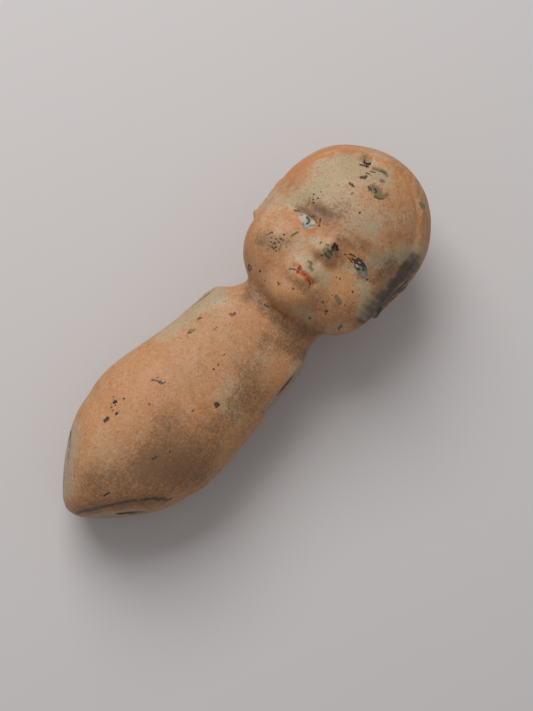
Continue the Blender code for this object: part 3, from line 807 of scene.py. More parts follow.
# %% Nose and mouth
mouth_marks = [
    ([(298, 272.4), (298.6, 269.6), (300, 266.6)], 1.7, "lip_red", 0.4, 0),
    ([(300.4, 273.6), (304, 275.4), (307, 278.4)], 1.5, "lip_orange", 0.5, 0),
    ([(302, 273.4), (304.6, 275)], 0.8, "lip_red", 0.5, 0),
    ([(307.4, 279.2), (309.4, 281.4)], 2, "lip_red", 0.4, 0),
    ([(311.4, 280.4), (312.6, 282.6)], 1.2, "lip_orange", 0.5, 0),
    ([(297, 271.6), (298.4, 272.2)], 0.9, "lip_dark", 0.4, 0),
    ([(309, 280.2), (309.6, 280.8)], 0.7, "lip_dark", 0.4, 0),
    ([(310.3, 283.8), (310.3, 284.4)], 0.8, "pit_black", 0.2, 0.00005),
    ([(309.2, 286)], 0.6, "pit_brown", 0.4, 0),
    ([(289.5, 269), (292.5, 269.2), (295.6, 269.8)], 0.8, "soot", 0.4, 0),
    ([(333, 250), (336.2, 248.6)], 1.6, "soot", 0.4, 0.00008),
    ([(334.6, 243.8), (337, 246.4), (337.8, 250.2)], 1.2, "pit_black", 0.4, 0.00014),
    ([(332.6, 247.4), (334.4, 246)], 1.3, "pit_black", 0.5, 0.00012),
    ([(332.8, 249.4)], 1, "pit_brown", 0.4, 0.00008),
    ([(326.5, 250), (328, 254), (329.4, 257)], 3.6, "pit_olive", 0.9, 0.00006),
    ([(327.6, 249.4), (329.4, 252)], 0.9, "pit_brown", 0.7, 0.00005),
    ([(324.6, 253.6), (327.6, 256.6), (329.6, 258.2)], 0.8, "pit_brown", 0.8, 0.00004),
    ([(331, 251.6), (331.4, 255)], 0.8, "pit_brown", 0.7, 0.00004),
    ([(326.4, 244.6), (329, 245.6)], 0.7, "pit_brown", 0.8, 0.00004),
    ([(321.8, 255.4), (322.6, 256)], 0.7, "pit_brown", 0.5, 0.00004),
    ([(320, 243.6), (321.4, 241.8)], 0.5, "pit_brown", 0.6, 0),
    ([(308.8, 261.6), (311.6, 263.6)], 1.2, "pit_olive", 0.9, 0.00005),
    ([(310, 267), (312, 269.6)], 1.6, "pit_olive", 0.9, 0),
]

# %% Chips and hair lines on the head
face_marks = [
    ([(284, 183), (291, 173), (300, 164.5), (311, 157), (323, 152), (337, 148.4),
     (348, 148.6)], 0.8, "hair_line", 0.4, 0),
    ([(292, 178), (303, 167), (318, 158), (334, 153)], 0.6, "hair_line", 0.9, 0),
    ([(398, 167), (405, 178), (411, 192), (415, 208), (419, 224), (423, 237)], 0.9, "hair_line", 0.5, 0),
    ([(421, 198), (426, 212), (427.5, 228), (426, 240)], 0.7, "hair_line", 0.8, 0),
    ([(350, 150), (362, 152), (374, 157), (386, 163)], 0.6, "hair_line", 0.9, 0),
    ([(367, 165.4)], 2, "pit_black", 0.5, 0.00020),
    ([(364.5, 162.5), (367, 165.2), (370.5, 163)], 0.9, "pit_black", 0.4, 0.00010),
    ([(360.5, 165), (364, 165.5)], 1, "soot", 0.5, 0),
    ([(374, 168.5), (379, 170), (384, 171.5), (387, 175)], 1.6, "pit_olive", 0.9, 0.00010),
    ([(371, 171.5), (375, 172.5)], 0.6, "pit_brown", 0.9, 0),
    ([(366, 173), (369, 174)], 0.5, "pit_brown", 0.9, 0),
    ([(381, 171), (385, 172.5)], 0.8, "pit_brown", 0.6, 0.00006),
    ([(361.5, 177.5), (364.5, 177.5), (366.5, 176.5)], 1.3, "pit_brown", 0.5, 0.00010),
    ([(381.5, 180.5), (383.5, 181.5)], 1.5, "pit_olive", 0.5, 0.00010),
    ([(373, 188.5), (377, 191), (379, 195)], 3.8, "pit_olive", 0.8, 0.00012),
    ([(379, 196.5), (384, 197), (387, 195)], 2, "pit_olive", 0.9, 0.00010),
    ([(375, 196), (379, 198.5), (383, 199)], 0.8, "pit_brown", 0.9, 0.00006),
    ([(368.8, 187), (370.5, 189.5)], 1.2, "pit_brown", 0.5, 0.00008),
    ([(374.5, 188.5), (376.5, 190.5), (376, 192.5)], 0.8, "pit_black", 0.4, 0.00008),
    ([(350, 183.5), (352.5, 185), (353.5, 186)], 1.1, "pit_brown", 0.5, 0.00008),
    ([(352.3, 193.5)], 1.2, "pit_olive", 0.5, 0.00006), ([(360, 212.6)], 0.95, "pit_black", 0.15, 0.00008),
    *dots("pit_brown", 0.4, 0, [(318, 198, 0.8), (323, 195, 0.5), (313.5, 202.5, 0.8), (313, 199.5, 0.7),
              (310, 198, 0.5), (314, 194.5, 0.5), (321, 192, 0.5), (315.5, 211, 0.6)]),
    ([(421, 204), (423, 207)], 2.3, "pit_olive", 0.7, 0),
    ([(274.5, 243.5)], 1.4, "pit_brown", 0.5, 0.00008),
    *dots("pit_black", 0.4, 0.00008, [(281, 239, 1), (284, 234.5, 0.9), (275.5, 247.5, 1)]),
    *dots("pit_brown", 0.4, 0.00006, [(271, 242, 0.8), (276, 239, 0.8), (279, 242.5, 0.8),
              (271.5, 238, 0.7)]),
    ([(269.5, 233.5), (272, 232)], 0.6, "pit_brown", 0.4, 0),
    *dots("pit_brown", 0.4, 0, [(283, 240, 0.7), (276, 251, 0.7), (279.5, 249, 0.6)]),
    ([(272, 246.5), (274, 249)], 0.6, "pit_brown", 0.4, 0), ([(281, 244.5)], 0.5, "pit_brown", 0.4, 0),
    ([(291.5, 236), (294, 234.2), (297.5, 232.3)], 0.8, "soot", 0.3, 0),
    ([(248.6, 264.5), (250.6, 266.2), (251.4, 269.2), (249.6, 270.6), (248.2, 268),
     (248.6, 264.5)], 0.45, "ring_ink", 0.2, 0),
    ([(260.1, 271.3)], 0.85, "pit_black", 0.15, 0.00006), ([(264.8, 280.5)], 0.6, "pit_brown", 0.3, 0),
    ([(277.5, 282.5), (279.5, 283.5), (278, 285)], 0.45, "ring_ink", 0.4, 0),
    ([(280.8, 283.5)], 0.45, "ring_ink", 0.2, 0),
    ([(258.5, 299.5), (262, 303), (266.5, 306), (267.5, 307)], 0.9, "ring_ink", 0.6, 0.00004),
    ([(309.8, 318.4)], 0.85, "pit_black", 0.2, 0.00006),
    ([(336.5, 297.5), (339.5, 303)], 2.3, "pit_olive", 0.35, 0.00010),
    ([(339, 304.5)], 0.8, "pit_brown", 0.5, 0), ([(322.5, 301.5), (323.5, 303)], 0.6, "ring_ink", 0.6, 0),
    ([(344.5, 305)], 0.5, "pit_brown", 0.5, 0), ([(325.5, 311.5), (327.5, 310.8)], 0.9, "ring_ink", 0.5, 0),
    ([(332, 309.2)], 0.5, "ring_ink", 0.4, 0), ([(325.5, 314)], 0.7, "ring_ink", 0.3, 0),
    ([(319.5, 309.5)], 0.5, "ring_ink", 0.3, 0), ([(352.8, 291.8)], 0.9, "pit_brown", 0.4, 0.00005),
    ([(339.8, 278.6)], 0.9, "pit_brown", 0.5, 0.00005), ([(336.5, 277.5)], 0.5, "pit_brown", 0.5, 0),
    ([(332.5, 295.5)], 0.5, "pit_brown", 0.5, 0), ([(338.5, 328.5), (341.5, 326)], 0.9, "soot", 0.5, 0),
    ([(293.5, 288.3)], 0.7, "pit_brown", 0.3, 0), ([(319.5, 224), (320.5, 220)], 0.5, "pit_brown", 0.5, 0),
    ([(378.5, 311.5), (380, 309)], 2.2, "pit_black", 0.4, 0),
    ([(399, 291), (402.5, 289)], 1.8, "pit_brown", 0.4, 0),
]

# %% Chips on the trunk
trunk_marks = [
    ([(107.3, 418.8)], 2, "pit_black", 0.2, 0.00010), ([(116.5, 413.5)], 1.3, "pit_black", 0.3, 0.00008),
    ([(113, 397.3)], 0.9, "pit_black", 0.4, 0.00006), ([(107.5, 397.3)], 0.6, "pit_black", 0.3, 0.00005),
    ([(113.5, 402.5), (116, 401.5)], 1.2, "pit_black", 0.5, 0.00008),
    ([(115.5, 405)], 0.8, "pit_black", 0.3, 0), ([(111.5, 407.5)], 0.9, "pit_brown", 0.3, 0.00005),
    *dots("pit_brown", 0.3, 0, [(113, 410.5, 0.8), (124, 398.5, 0.8), (111, 404, 0.5)]),
    ([(152.5, 379.5), (156, 380.5), (159, 381.5), (163, 383.5),
     (165.5, 382)], 0.5, "pit_brown", 0.5, 0.00003),
    ([(158.5, 381.5), (161, 382)], 0.9, "ring_ink", 0.5, 0.00004),
    ([(165.5, 385.5)], 0.6, "ring_ink", 0.4, 0), ([(166, 379.5)], 0.5, "ring_ink", 0.4, 0),
    ([(157, 378)], 0.4, "pit_brown", 0.4, 0),
    ([(189.5, 331.5), (192.5, 330.5)], 1.5, "pit_olive", 0.4, 0.00008),
    ([(188.5, 332.5), (191, 332.8)], 0.6, "pit_black", 0.4, 0.00004),
    ([(187.6, 334)], 0.5, "pit_black", 0.4, 0),
    ([(197.5, 318.7), (200.8, 318)], 0.75, "pit_brown", 0.4, 0.00005),
    ([(230.5, 314.3), (233.5, 314.9)], 1.2, "rust", 0.35, 0.00006),
    ([(223.6, 355.4)], 0.7, "pit_black", 0.2, 0.00004), ([(217.8, 365.2)], 0.8, "pit_brown", 0.3, 0.00004),
    ([(213.8, 369.3)], 0.9, "pit_black", 0.4, 0.00005), ([(211.5, 371.5)], 0.5, "pit_brown", 0.4, 0),
    ([(193.8, 410.2)], 0.8, "pit_brown", 0.3, 0.00004), ([(198.3, 406.6)], 0.7, "pit_brown", 0.3, 0),
    ([(215.5, 404), (218, 406), (216, 406.5)], 1, "ring_ink", 0.6, 0.00003),
    ([(153, 459.5), (157, 456.5)], 0.7, "ring_ink", 0.6, 0.00003),
    ([(169.5, 451.3)], 1.1, "pit_brown", 0.4, 0), ([(131, 466), (135, 466.2)], 0.5, "ring_ink", 0.5, 0),
    ([(106.5, 494.2)], 0.9, "pit_black", 0.3, 0.00004), ([(204.3, 471.5)], 0.6, "pit_black", 0.3, 0),
    ([(104.8, 450.5)], 0.6, "pit_brown", 0.3, 0), ([(148, 402), (150.5, 405)], 0.5, "pit_brown", 0.5, 0),
    *dots("pit_olive", 0.5, 0, [(215, 329, 0.5), (205, 333, 0.4), (282, 361, 0.7)]),
    ([(78, 512.5), (92, 509.5), (108, 505.5), (122, 502.5), (136, 500)], 1.1, "soot", 0.8, 0),
    ([(140, 500), (156, 498.5), (170, 500)], 0.7, "ring_ink", 0.9, 0),
    ([(62.6, 466), (63.2, 474)], 1, "soot", 0.6, 0), ([(62.5, 497.5), (63, 500)], 1, "soot", 0.5, 0),
]
marks = eye_marks + mouth_marks + face_marks + trunk_marks
print("painted marks and chips", len(marks))

# %% [markdown]
# ## Rubbed, dirty and painted-shade zones
#
# The large soft changes of colour are four layers. `ground` is where the flesh paint is rubbed thin and
# the grey-green ground shows. The brown layer is handling dirt together with painted shade under the chin,
# down the neck, above the right eye, beside the nose, along the flank turned from the light and over the
# low belly. `blush` is the warmer orange of thick or fresh paint, and `shade` is painted shade with
# grey-brown soot in the hollow in front of the ear.

# %% Wear, dirt and painted shade in the photograph's frame
wear_and_shade_marks = {
    "ground": [
        ([(290, 203), (301, 197), (318, 190)], 9, 1.0), ([(322, 186), (345, 176)], 14, 0.6),
        ([(326, 168), (345, 163), (362, 168)], 13, 0.8), ([(370, 176), (386, 181)], 9, 0.9),
        ([(330, 200), (352, 205), (366, 222)], 15, 0.55), ([(345, 225), (372, 232)], 14, 0.5),
        ([(318, 244), (328, 248)], 8, 0.7), ([(303, 259), (313, 268), (325, 278)], 7.5, 0.95),
        ([(293, 310), (310, 318)], 7, 0.55), ([(374, 263), (396, 257), (415, 250)], 8, 1.0),
        ([(364, 284), (366, 300), (362, 316)], 6, 0.95), ([(345, 266), (352, 273), (358, 282)], 4, 0.6),
        ([(368, 150), (384, 156)], 5, 0.5), ([(190, 311), (205, 301), (222, 294)], 9, 1.0),
        ([(300, 362), (292, 374)], 5, 0.6), ([(230, 388), (226, 405), (238, 412)], 13, 0.5),
        ([(252, 366), (270, 352)], 9, 0.3), ([(74, 424), (70, 456), (68, 492)], 7, 0.75),
        ([(160, 336), (186, 318)], 8, 0.75), ([(292, 246), (304, 240), (316, 236)], 7, 0.45),
        ([(420, 206)], 7, 0.5), ([(330, 330), (345, 327)], 6, 0.5), ([(262, 205), (272, 196)], 9, 0.7),
        ([(277, 236), (268, 244)], 12, 0.4), ([(110, 470), (96, 452)], 16, 0.25),
        ([(388, 214), (404, 222)], 13, 0.35),
    ],
    # Brown handling dirt together with painted shade: above the right eye, beside the nose, under the chin,
    # down the neck, along the flank turned from the light and over the low belly.
    "grime_and_shade": [
        ([(302, 208), (316, 212), (332, 215)], 7, 0.8), ([(262, 240), (282, 242)], 11, 0.55),
        ([(253, 292), (268, 312), (292, 330), (315, 334)], 9, 0.65), ([(168, 424), (164, 448)], 22, 0.55),
        ([(150, 462), (196, 454)], 22, 0.55), ([(96, 484), (140, 478), (190, 470)], 24, 0.65),
        ([(244, 300), (250, 282)], 8, 0.4), ([(360, 276), (378, 280), (392, 264)], 7, 0.6),
        ([(250, 368), (252, 392)], 18, 0.5), ([(215, 430), (240, 404)], 18, 0.5),
        ([(270, 340), (300, 352)], 12, 0.6),
        ([(330, 215), (345, 205)], 16, 0.35), ([(285, 275), (300, 292)], 10, 0.3),
        ([(334, 250), (344, 264)], 7, 0.5),
        ([(338, 238), (362, 246)], 8, 0.45), ([(320, 306), (346, 308)], 14, 0.35),
        ([(284, 190), (300, 180)], 8, 0.25),
        ([(80, 512), (120, 504), (160, 500)], 6, 0.6), ([(392, 214), (396, 232)], 14, 0.25),
    ],
    "blush": [
        ([(286, 214), (294, 217), (297, 226)], 6, 0.8), ([(310, 231), (318, 228)], 5, 0.8),
        ([(288, 179), (302, 165), (320, 154), (342, 149), (356, 152)], 3.5, 0.5),
        ([(400, 169), (410, 188), (415, 206)], 3.5, 0.5), ([(417, 215), (423, 236)], 3.5, 0.5),
        ([(426, 206), (429, 228)], 3.0, 0.4), ([(322, 264), (332, 273)], 7, 0.55),
        ([(262, 256), (276, 266)], 12, 0.45), ([(180, 352), (165, 372)], 20, 0.45),
        ([(130, 392), (160, 420)], 22, 0.35), ([(350, 247), (342, 244)], 4, 0.5), ([(296, 288)], 9, 0.4),
        ([(292, 165), (312, 160)], 8, 0.4), ([(382, 160), (396, 176)], 9, 0.35),
        ([(262, 330), (240, 330)], 14, 0.3),
    ],
    # Painted shade with grey-brown soot in the hollow in front of the left ear, on the side turned from the
    # light.
    "shade": [
        ([(410, 266), (400, 279), (389, 293), (380, 307)], 10, 1.0), ([(415, 256), (409, 268)], 4, 0.6),
        ([(384, 300), (374, 313), (364, 323)], 9, 0.85), ([(398, 294), (404, 288)], 5, 0.8),
        ([(378, 312), (382, 306)], 5, 0.8),
    ],
}
print("wear strokes", sum(len(rows) for rows in wear_and_shade_marks.values()))

# %% [markdown]
# ## Refining the mesh under the marks
#
# A chip half a millimetre wide needs edges of a tenth of a millimetre, but only there. The edges under
# each mark are split with `subdivide_edges` until they are short enough, and the new vertices settle back
# onto the field.

# %% Points, normals and what the camera sees
skin_tolerance = 0.00012
grazing_view = 0.08
full_view = 0.28


def lay_down(points):
    """From the doll's own frame to where it lies on its back in the part's frame."""
    return points @ tilt.T + doll_place


def mesh_points(mesh):
    return np.array([vert.co[:] for vert in mesh.verts])


def mesh_normals(mesh):
    mesh.normal_update()
    return np.array([vert.normal[:] for vert in mesh.verts])


def seen_by_camera(mesh):
    """How squarely each vertex faces the photograph's camera, from 0 to 1, and 0 off the outer skin."""
    points = mesh_points(mesh)
    square = (mesh_normals(mesh) @ tilt.T) @ np.array(camera_way)
    on_skin = np.abs(body_field(points)) < skin_tolerance
    return smooth_step((square - grazing_view) / (full_view - grazing_view)) * on_skin


# %% Split edges under the marks
fine_edge = 0.00013
split_rounds = 4
split_margin = 1.6
split_tolerance = 0.00005
split_settle_rounds = 3


def mark_distance(pixels, seen):
    """Pixels to the nearest mark's edge, for points that the camera sees."""
    nearest = np.full(len(pixels), np.inf)
    for path, radius, color, ragged, depth in marks:
        nearest = np.minimum(nearest, distance_to_path(pixels, path) - radius)
    return np.where(seen > 0, nearest, np.inf)


def refine(mesh):
    skin = mesh.faces.layers.int.new("skin")
    on_skin = np.abs(body_field(mesh_points(mesh))) < split_tolerance
    mesh.verts.index_update()
    for face in mesh.faces:
        face[skin] = int(all(on_skin[vert.index] for vert in face.verts))
    for _ in range(split_rounds):
        mesh.verts.index_update()
        points = mesh_points(mesh)
        near = mark_distance(photo_pixels(lay_down(points)), seen_by_camera(mesh)) < split_margin
        edges = [edge for edge in mesh.edges if near[edge.verts[0].index] and near[edge.verts[1].index]
                 and edge.calc_length() > fine_edge and all(face[skin] for face in edge.link_faces)]
        if not edges:
            break
        split = bmesh.ops.subdivide_edges(mesh, edges=edges, cuts=1, use_grid_fill=True)
        fresh = [item for item in split["geom_inner"] if isinstance(item, bmesh.types.BMVert)]
        fresh = [vert for vert in fresh if all(face[skin] for face in vert.link_faces)]
        settled = settle(body_field, np.array([vert.co[:] for vert in fresh]), split_settle_rounds)
        for vert, place in zip(fresh, settled):
            vert.co = place
    bmesh.ops.triangulate(mesh, faces=[face for face in mesh.faces if len(face.verts) > 4])


# %% [markdown]
# ## Painting
#
# The paint goes on as vertex attributes. `marks` holds the colour of the nearest mark, a little past its
# edge too, and in its alpha how much of the surface the mark covers. The wear, dirt and painted-shade layers
# are plain numbers. A mark that has a depth also sinks the skin there. The side that the camera never saw
# gets the layer `unseen`, on which the material scatters chips of its own.

# %% Lay the marks on the vertices
edge_softness = 1.3
edge_margin = 2.0
edge_swing = 0.6
mark_phase = 1.7
full_wander = 9.0
wear_and_shade_falloff = 1.8
# A weight, then two waves that multiply it: turns per pixel across and down, and multiple of the phase.
ragged_waves = ((1.0, (2.1, 1.3, 1), (1.2, -2.5, 2)), (0.6, (4.1, -1.7, 3), (0.0, 3.3, 1)))
# For each direction of the push two waves: reach in pixels, turns per pixel across and down, and phase.
wander_waves = (((2.4, 0.31, 0.17, 0.0), (1.5, -0.43, 0.74, 1.0)),
                ((2.4, -0.21, 0.29, 2.0), (1.5, 0.66, 0.52, 0.0)))


def ragged_edge(pixels, phase):
    """A wandering number between about -1 and 1 that breaks up the edge of a mark."""
    across, down = pixels.T
    total = np.zeros(len(pixels))
    for weight, *waves in ragged_waves:
        for turns_across, turns_down, multiple in waves:
            weight = weight * np.sin(turns_across * across + turns_down * down + multiple * phase)
        total += weight
    return total


def paint_marks(pixels, seen):
    colors = np.zeros((len(pixels), 3))
    covers = np.zeros(len(pixels))
    sink = np.zeros(len(pixels))
    blank = np.ones(len(pixels), bool)
    for index, (path, radius, color, ragged, depth) in enumerate(marks):
        away = distance_to_path(pixels, path)
        near = (away < radius * (1 + ragged) + edge_margin) & (seen > 0)
        edge = radius * (1 + ragged * edge_swing * ragged_edge(pixels[near], index * mark_phase))
        cover = smooth_step((edge - away[near]) / edge_softness + 0.5) * seen[near]
        weight = np.maximum(cover, blank[near])[:, None]
        colors[near] = colors[near] * (1 - weight) + np.array(linear(paint[color])) * weight
        covers[near] = np.maximum(covers[near], cover)
        sink[near] = np.maximum(sink[near], depth * cover)
        blank[near] = False
    return colors, covers, sink


def wander(pixels):
    """A push of a few pixels, so that a rubbed, dirty or painted-shade zone has no straight or even edge."""
    across, down = pixels.T
    pushes = [sum(push * np.sin(turns_across * across + turns_down * down + phase)
                  for push, turns_across, turns_down, phase in waves) for waves in wander_waves]
    return np.stack(pushes, axis=1)


def paint_wear_and_shade(pixels, seen, strokes):
    bare = np.ones(len(pixels))
    push = wander(pixels)
    for path, radius, strength in strokes:
        away = distance_to_path(pixels + push * min(1.0, radius / full_wander), path) / radius
        bare *= 1 - strength * np.exp(-away ** wear_and_shade_falloff)
    return (1 - bare) * seen


# %% Where the seats, hair and hidden side are
seat_reach = 0.0009


def seat_mask(points):
    """1 on the flat limb seats and their dishes, fading to 0 along the string ways."""
    mask = np.zeros(len(points))
    for side in (-1, 1):
        for place, normal in ((leg_seat_point(side), leg_seat_normal(side)),
                              (arm_seat_point(side), arm_seat_normal(side))):
            away = np.abs((points - place) @ normal) / seat_reach
            mask = np.maximum(mask, smooth_step(2 - 1.4 * away))
    return mask * (cavity_field(points) > wall / 8)


def lock_hollows(local):
    """1 in the grooves between the locks, 0 on their crests and on the face."""
    return deep_hair(local) * smooth_step(0.5 - lock_relief(local) / lock_height / 2)


def add_layer(data, name, values):
    kind, key = ("FLOAT_COLOR", "color") if values.ndim == 2 else ("FLOAT", "value")
    data.attributes.new(name, kind, "POINT").data.foreach_set(key, values.astype(np.float32).ravel())


# %% Finish each half
merge_distance = 0.000002
sharp_angle = math.radians(38)


def mark_seat_faces(mesh, on_skin):
    """Gives the cut and inner faces the second material slot."""
    centres = np.array([face.calc_center_median()[:] for face in mesh.faces])
    reach = np.array([max(edge.calc_length() for edge in face.edges) for face in mesh.faces])
    sunk = body_field(centres) < -skin_tolerance - reach * reach / head_width
    for face, below in zip(mesh.faces, sunk):
        face.material_index = int(below or not all(on_skin[vert.index] for vert in face.verts))


def finish_half(item):
    mesh = bmesh.new()
    mesh.from_mesh(item.data)
    bmesh.ops.remove_doubles(mesh, verts=mesh.verts, dist=merge_distance)
    refine(mesh)
    mesh.verts.index_update()
    points, normals = mesh_points(mesh), mesh_normals(mesh)
    on_skin = np.abs(body_field(points)) < skin_tolerance
    mark_seat_faces(mesh, on_skin)
    seen = seen_by_camera(mesh)
    pixels = photo_pixels(lay_down(points))
    colors, cover, sink = paint_marks(pixels, seen)
    low, high = np.array(cad_low), np.array(cad_high)
    placed = lay_down(points - normals * sink[:, None])
    past = np.maximum(low - placed.min(axis=0), placed.max(axis=0) - high)
    print(item.name, "past the frame's box, in mm", np.round(1000 * past, 2))
    placed = np.clip(placed, low, high)
    for vert, place in zip(mesh.verts, placed):
        vert.co = place
    item.data.materials.append(None)
    item.data.materials.append(None)
    mesh.to_mesh(item.data)
    mesh.free()
    add_layer(item.data, "marks", np.concatenate([colors, cover[:, None]], axis=1))
    for name, strokes in wear_and_shade_marks.items():
        add_layer(item.data, name, paint_wear_and_shade(pixels, seen, strokes))
    add_layer(item.data, "unseen", on_skin * (1 - seen))
    add_layer(item.data, "seat", seat_mask(points))
    add_layer(item.data, "hollows", lock_hollows(head_local(points)) * on_skin)
    item.data.shade_smooth()
    item.data.set_sharp_from_angle(angle=sharp_angle)
    print(item.name, "triangles", sum(len(face.vertices) - 2 for face in item.data.polygons))


for half in halves.values():
    finish_half(half)

# %% [markdown]
# ## Materials
#
# The real surface is flesh-coloured oil paint, brushed over a ground of chalk and glue: nearly matt, a
# little glossier where thumbs have polished it. To the eye it is never one colour. Peach and beige drift
# over a centimetre, paler rubbed patches over four millimetres, and fine dirt speckles it at half a
# millimetre. So the paint is a pile of layers, and each layer is one row of a table. Its colour comes
# through where an attribute and a noise together rise from the low to the high number.

# %% One helper for nodes
def add_node(tree, kind, sockets, out=0, **settings):
    """Adds a node with its settings and links, and gives one of its outputs."""
    item = tree.nodes.new(kind)
    for name, value in settings.items():
        setattr(item, name, value)
    for key, value in sockets.items():
        if isinstance(value, bpy.types.NodeSocket):
            tree.links.new(value, item.inputs[key])
        else:
            item.inputs[key].default_value = value
    return item.outputs[out]


def rgba(code):
    return (*linear(code), 1.0)


def new_material(name):
    material = bpy.data.materials.new(name)
    material.use_nodes = True
    return material, material.node_tree, material.node_tree.nodes["Principled BSDF"]


def lay_colors(tree, color, place, layers):
    """Lays the colour of each row over what is below it."""
    for attribute, size, weight, low, high, strength, code in layers:
        texture = add_node(tree, "ShaderNodeTexNoise",
                           {"Vector": place, "Scale": 1 / size, "Detail": 3.0, "Roughness": 0.6})
        amount = 0.0
        if attribute:
            amount = add_node(tree, "ShaderNodeAttribute", {}, "Fac", attribute_name=attribute)
        amount = add_node(tree, "ShaderNodeMath", {0: texture, 1: weight, 2: amount},
                          operation="MULTIPLY_ADD")
        amount = add_node(tree, "ShaderNodeMapRange",
                          {"Value": amount, "From Min": low, "From Max": high, "To Max": strength},
                          interpolation_type="SMOOTHSTEP")
        color = add_node(tree, "ShaderNodeMix", {0: amount, 6: color, 7: rgba(code)}, 2, data_type="RGBA")
    return color


# %% Flesh paint
# Sizes of the chipping in a mark, of the polished patches and of the grain, and how high the grain stands.
chipping_size = 0.0005
polish_size = 0.005
grain_size = 0.0007
grain_height = 0.00012

# Attribute, patch size in metres, weight of the noise, low, high, strength, colour.
flesh_layers = [
    ("", 0.0130, 1.0, 0.40, 0.62, 0.70, "#b2865f"),
    ("", 0.0042, 1.0, 0.50, 0.72, 0.38, "#ba9570"),
    ("", 0.0030, -1.0, -0.47, -0.32, 0.45, "#9f6d43"),
    ("", 0.0012, -1.0, -0.46, -0.30, 0.45, "#8a6443"),
    ("", 0.0009, 1.0, 0.52, 0.70, 0.38, "#c4a07a"),
    ("hollows", 0.0012, 0.5, 0.65, 1.20, 0.55, "#a5693a"),
    ("blush", 0.0014, 0.8, 0.50, 1.35, 0.62, "#b06c3e"),
    ("ground", 0.0018, 1.4, 0.70, 1.60, 0.85, "#b4a082"),
    ("ground", 0.0006, 1.6, 1.10, 1.80, 0.50, "#958568"),
    # The next two rows are handling dirt together with painted shade in the creases and on the side turned
    # from the light.
    ("grime_and_shade", 0.0022, 1.2, 0.60, 1.60, 0.50, "#7c5637"),
    ("grime_and_shade", 0.0006, 1.8, 1.00, 1.80, 0.60, "#4f3b28"),
    ("", 0.00050, -1.0, -0.44, -0.30, 0.60, "#664c33"),
    # The next two rows are painted shade with grey-brown soot in the hollow in front of the ear.
    ("shade", 0.0026, 0.4, 0.30, 1.05, 0.95, "#625347"),
    ("shade", 0.0014, 0.9, 0.95, 1.55, 0.70, "#3c3026"),
    ("unseen", 0.0021, 1.0, 1.70, 1.74, 0.90, "#6f6140"),
    ("unseen", 0.0011, 1.0, 1.72, 1.76, 0.95, "#30261a"),
]


def flesh_paint():
    """Oil paint binds at an index near 1.48; dried out by age it is rougher than new."""
    material, tree, shader = new_material("flesh_oil_paint")
    place = add_node(tree, "ShaderNodeTexCoord", {}, "Object")
    color = lay_colors(tree, rgba("#b68054"), place, flesh_layers)
    cover = add_node(tree, "ShaderNodeAttribute", {}, "Alpha", attribute_name="marks")
    marked = add_node(tree, "ShaderNodeAttribute", {}, "Color", attribute_name="marks")
    chipping = add_node(tree, "ShaderNodeTexNoise",
                        {"Vector": place, "Scale": 1 / chipping_size, "Detail": 3.0})
    cover = add_node(tree, "ShaderNodeMath", {0: chipping, 1: 1.0, 2: cover}, operation="MULTIPLY_ADD")
    cover = add_node(tree, "ShaderNodeMapRange", {"Value": cover, "From Min": 0.70, "From Max": 1.00},
                     interpolation_type="SMOOTHSTEP")
    color = add_node(tree, "ShaderNodeMix", {0: cover, 6: color, 7: marked}, 2, data_type="RGBA")
    polish = add_node(tree, "ShaderNodeTexNoise", {"Vector": place, "Scale": 1 / polish_size, "Detail": 3.0})
    rough = add_node(tree, "ShaderNodeMapRange", {"Value": polish, "From Min": 0.3, "From Max": 0.7,
                                                  "To Min": 0.50, "To Max": 0.66})
    grain = add_node(tree, "ShaderNodeTexNoise", {"Vector": place, "Scale": 1 / grain_size, "Detail": 4.0})
    normal = add_node(tree, "ShaderNodeBump", {"Strength": 0.6, "Distance": grain_height, "Height": grain})
    tree.links.new(color, shader.inputs["Base Color"])
    tree.links.new(rough, shader.inputs["Roughness"])
    tree.links.new(normal, shader.inputs["Normal"])
    shader.inputs["IOR"].default_value = 1.48
    print(material.name, "nodes", len(tree.nodes))
    return material


# %% [markdown]
# The seats never had the flesh paint for long: the limbs rubbed them down to grey-pink ground, with dark
# rings of dirt. Inside, the shell is the bare brown composition of sawdust and paste, painted near black
# as the shade deep in the hollow. The seam between the halves shows on a seat as a dark line, so the
# material measures how far a point is from the seam's plane.

# %% Bare seats and inside
seat_layers = [
    ("", 0.0035, 1.0, 0.40, 0.60, 0.70, "#b09a84"),
    ("", 0.0012, 1.0, 0.52, 0.68, 0.50, "#7c6858"),
    ("", 0.0006, -1.0, -0.44, -0.34, 0.60, "#4a3b2e"),
]
seam_line = 0.00022
sawdust_size = 0.0009
sawdust_height = 0.00020


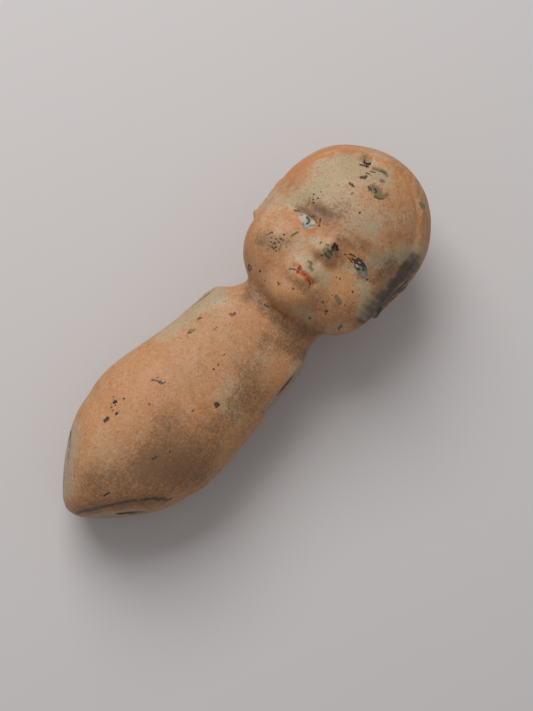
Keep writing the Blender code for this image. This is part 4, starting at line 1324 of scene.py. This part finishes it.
def bare_composition():
    material, tree, shader = new_material("bare_composition")
    place = add_node(tree, "ShaderNodeTexCoord", {}, "Object")
    worn = lay_colors(tree, rgba("#a8917e"), place, seat_layers)
    seat = add_node(tree, "ShaderNodeAttribute", {}, "Fac", attribute_name="seat")
    # Off the seats the brown of bare composition is darkened to near black as painted shade inside the
    # hollow.
    color = add_node(tree, "ShaderNodeMix", {0: seat, 6: rgba("#3a2c20"), 7: worn}, 2, data_type="RGBA")
    from_seam = add_node(tree, "ShaderNodeVectorMath", {0: place, 1: Vector(-doll_place)}, operation="ADD")
    across = tuple(tilt @ np.array([0.0, 0.0, 1.0]))
    height = add_node(tree, "ShaderNodeVectorMath", {0: from_seam, 1: across}, "Value",
                      operation="DOT_PRODUCT")
    away = add_node(tree, "ShaderNodeMath", {0: height}, operation="ABSOLUTE")
    line = add_node(tree, "ShaderNodeMapRange",
                    {"Value": away, "From Min": seam_line, "From Max": seam_line / 3, "To Max": 0.9},
                    interpolation_type="SMOOTHSTEP")
    color = add_node(tree, "ShaderNodeMix", {0: line, 6: color, 7: rgba("#2a1f16")}, 2, data_type="RGBA")
    grain = add_node(tree, "ShaderNodeTexNoise", {"Vector": place, "Scale": 1 / sawdust_size, "Detail": 4.0})
    normal = add_node(tree, "ShaderNodeBump", {"Strength": 0.8, "Distance": sawdust_height, "Height": grain})
    tree.links.new(color, shader.inputs["Base Color"])
    tree.links.new(normal, shader.inputs["Normal"])
    shader.inputs["Roughness"].default_value = 0.85
    return material


# %% [markdown]
# Hide glue, squeezed out along the seam inside, dries amber brown and glossy, with an index near 1.53.

# %% Old glue
def old_glue():
    material, tree, shader = new_material("hide_glue")
    place = add_node(tree, "ShaderNodeTexCoord", {}, "Object")
    color = lay_colors(tree, rgba("#5c3d1c"), place, [("", 0.0030, 1.0, 0.35, 0.65, 1.0, "#8a6534")])
    tree.links.new(color, shader.inputs["Base Color"])
    shader.inputs["Roughness"].default_value = 0.3
    shader.inputs["IOR"].default_value = 1.53
    return material


# %% Give the pieces their materials and places in the frame
flesh, bare, glue = flesh_paint(), bare_composition(), old_glue()
for name, node in (("front_shell", "front_half"), ("back_shell", "back_half")):
    half = halves[name]
    half.data.materials[0] = flesh
    half.data.materials[1] = bare
    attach(half, "root")
    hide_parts(node)
for name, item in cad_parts.items():
    if name.endswith("_glue"):
        item.data.materials.clear()
        item.data.materials.append(glue)
print("glue beads", [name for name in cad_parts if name.endswith("_glue")])

# %% [markdown]
# ## Floor and light
#
# The doll lies on pale paper by a window. One broad soft light stands beyond the crown of the head, and
# the room throws plenty of light back, so the shadow is soft and not very dark. The light is kept at a
# plain level, where a painted colour turns out about as written.

# %% Floor
floor_half_size = 1.5
floor_mesh = bmesh.new()
bmesh.ops.create_grid(floor_mesh, x_segments=1, y_segments=1, size=floor_half_size)
floor = link_object("floor", floor_mesh)
paper, _, paper_shader = new_material("pale_paper")
paper_shader.inputs["Base Color"].default_value = rgba("#c9c6c7")
paper_shader.inputs["Roughness"].default_value = 0.9
floor.data.materials.append(paper)

# %% Light
window_size = 0.50
window_distance = 0.75
window_watts = 4.8
window_way = (-camera_right * 0.25 + camera_up * 0.85 + camera_way * 0.80).normalized()
room_strength = 0.39

room = bpy.data.worlds.new("room")
room.use_nodes = True
room.node_tree.nodes["Background"].inputs["Color"].default_value = rgba("#f2f0ee")
room.node_tree.nodes["Background"].inputs["Strength"].default_value = room_strength
bpy.context.scene.world = room

window_data = bpy.data.lights.new("window", "AREA")
window_data.shape = "RECTANGLE"
window_data.size = window_size
window_data.size_y = window_size
window_data.energy = window_watts
window_data.color = linear("#fffdfa")
window = bpy.data.objects.new("window", window_data)
bpy.context.scene.collection.objects.link(window)
window.location = camera_target + window_way * window_distance
window.rotation_euler = (-window_way).to_track_quat("-Z", "Y").to_euler()

bpy.context.scene.view_settings.view_transform = "Standard"
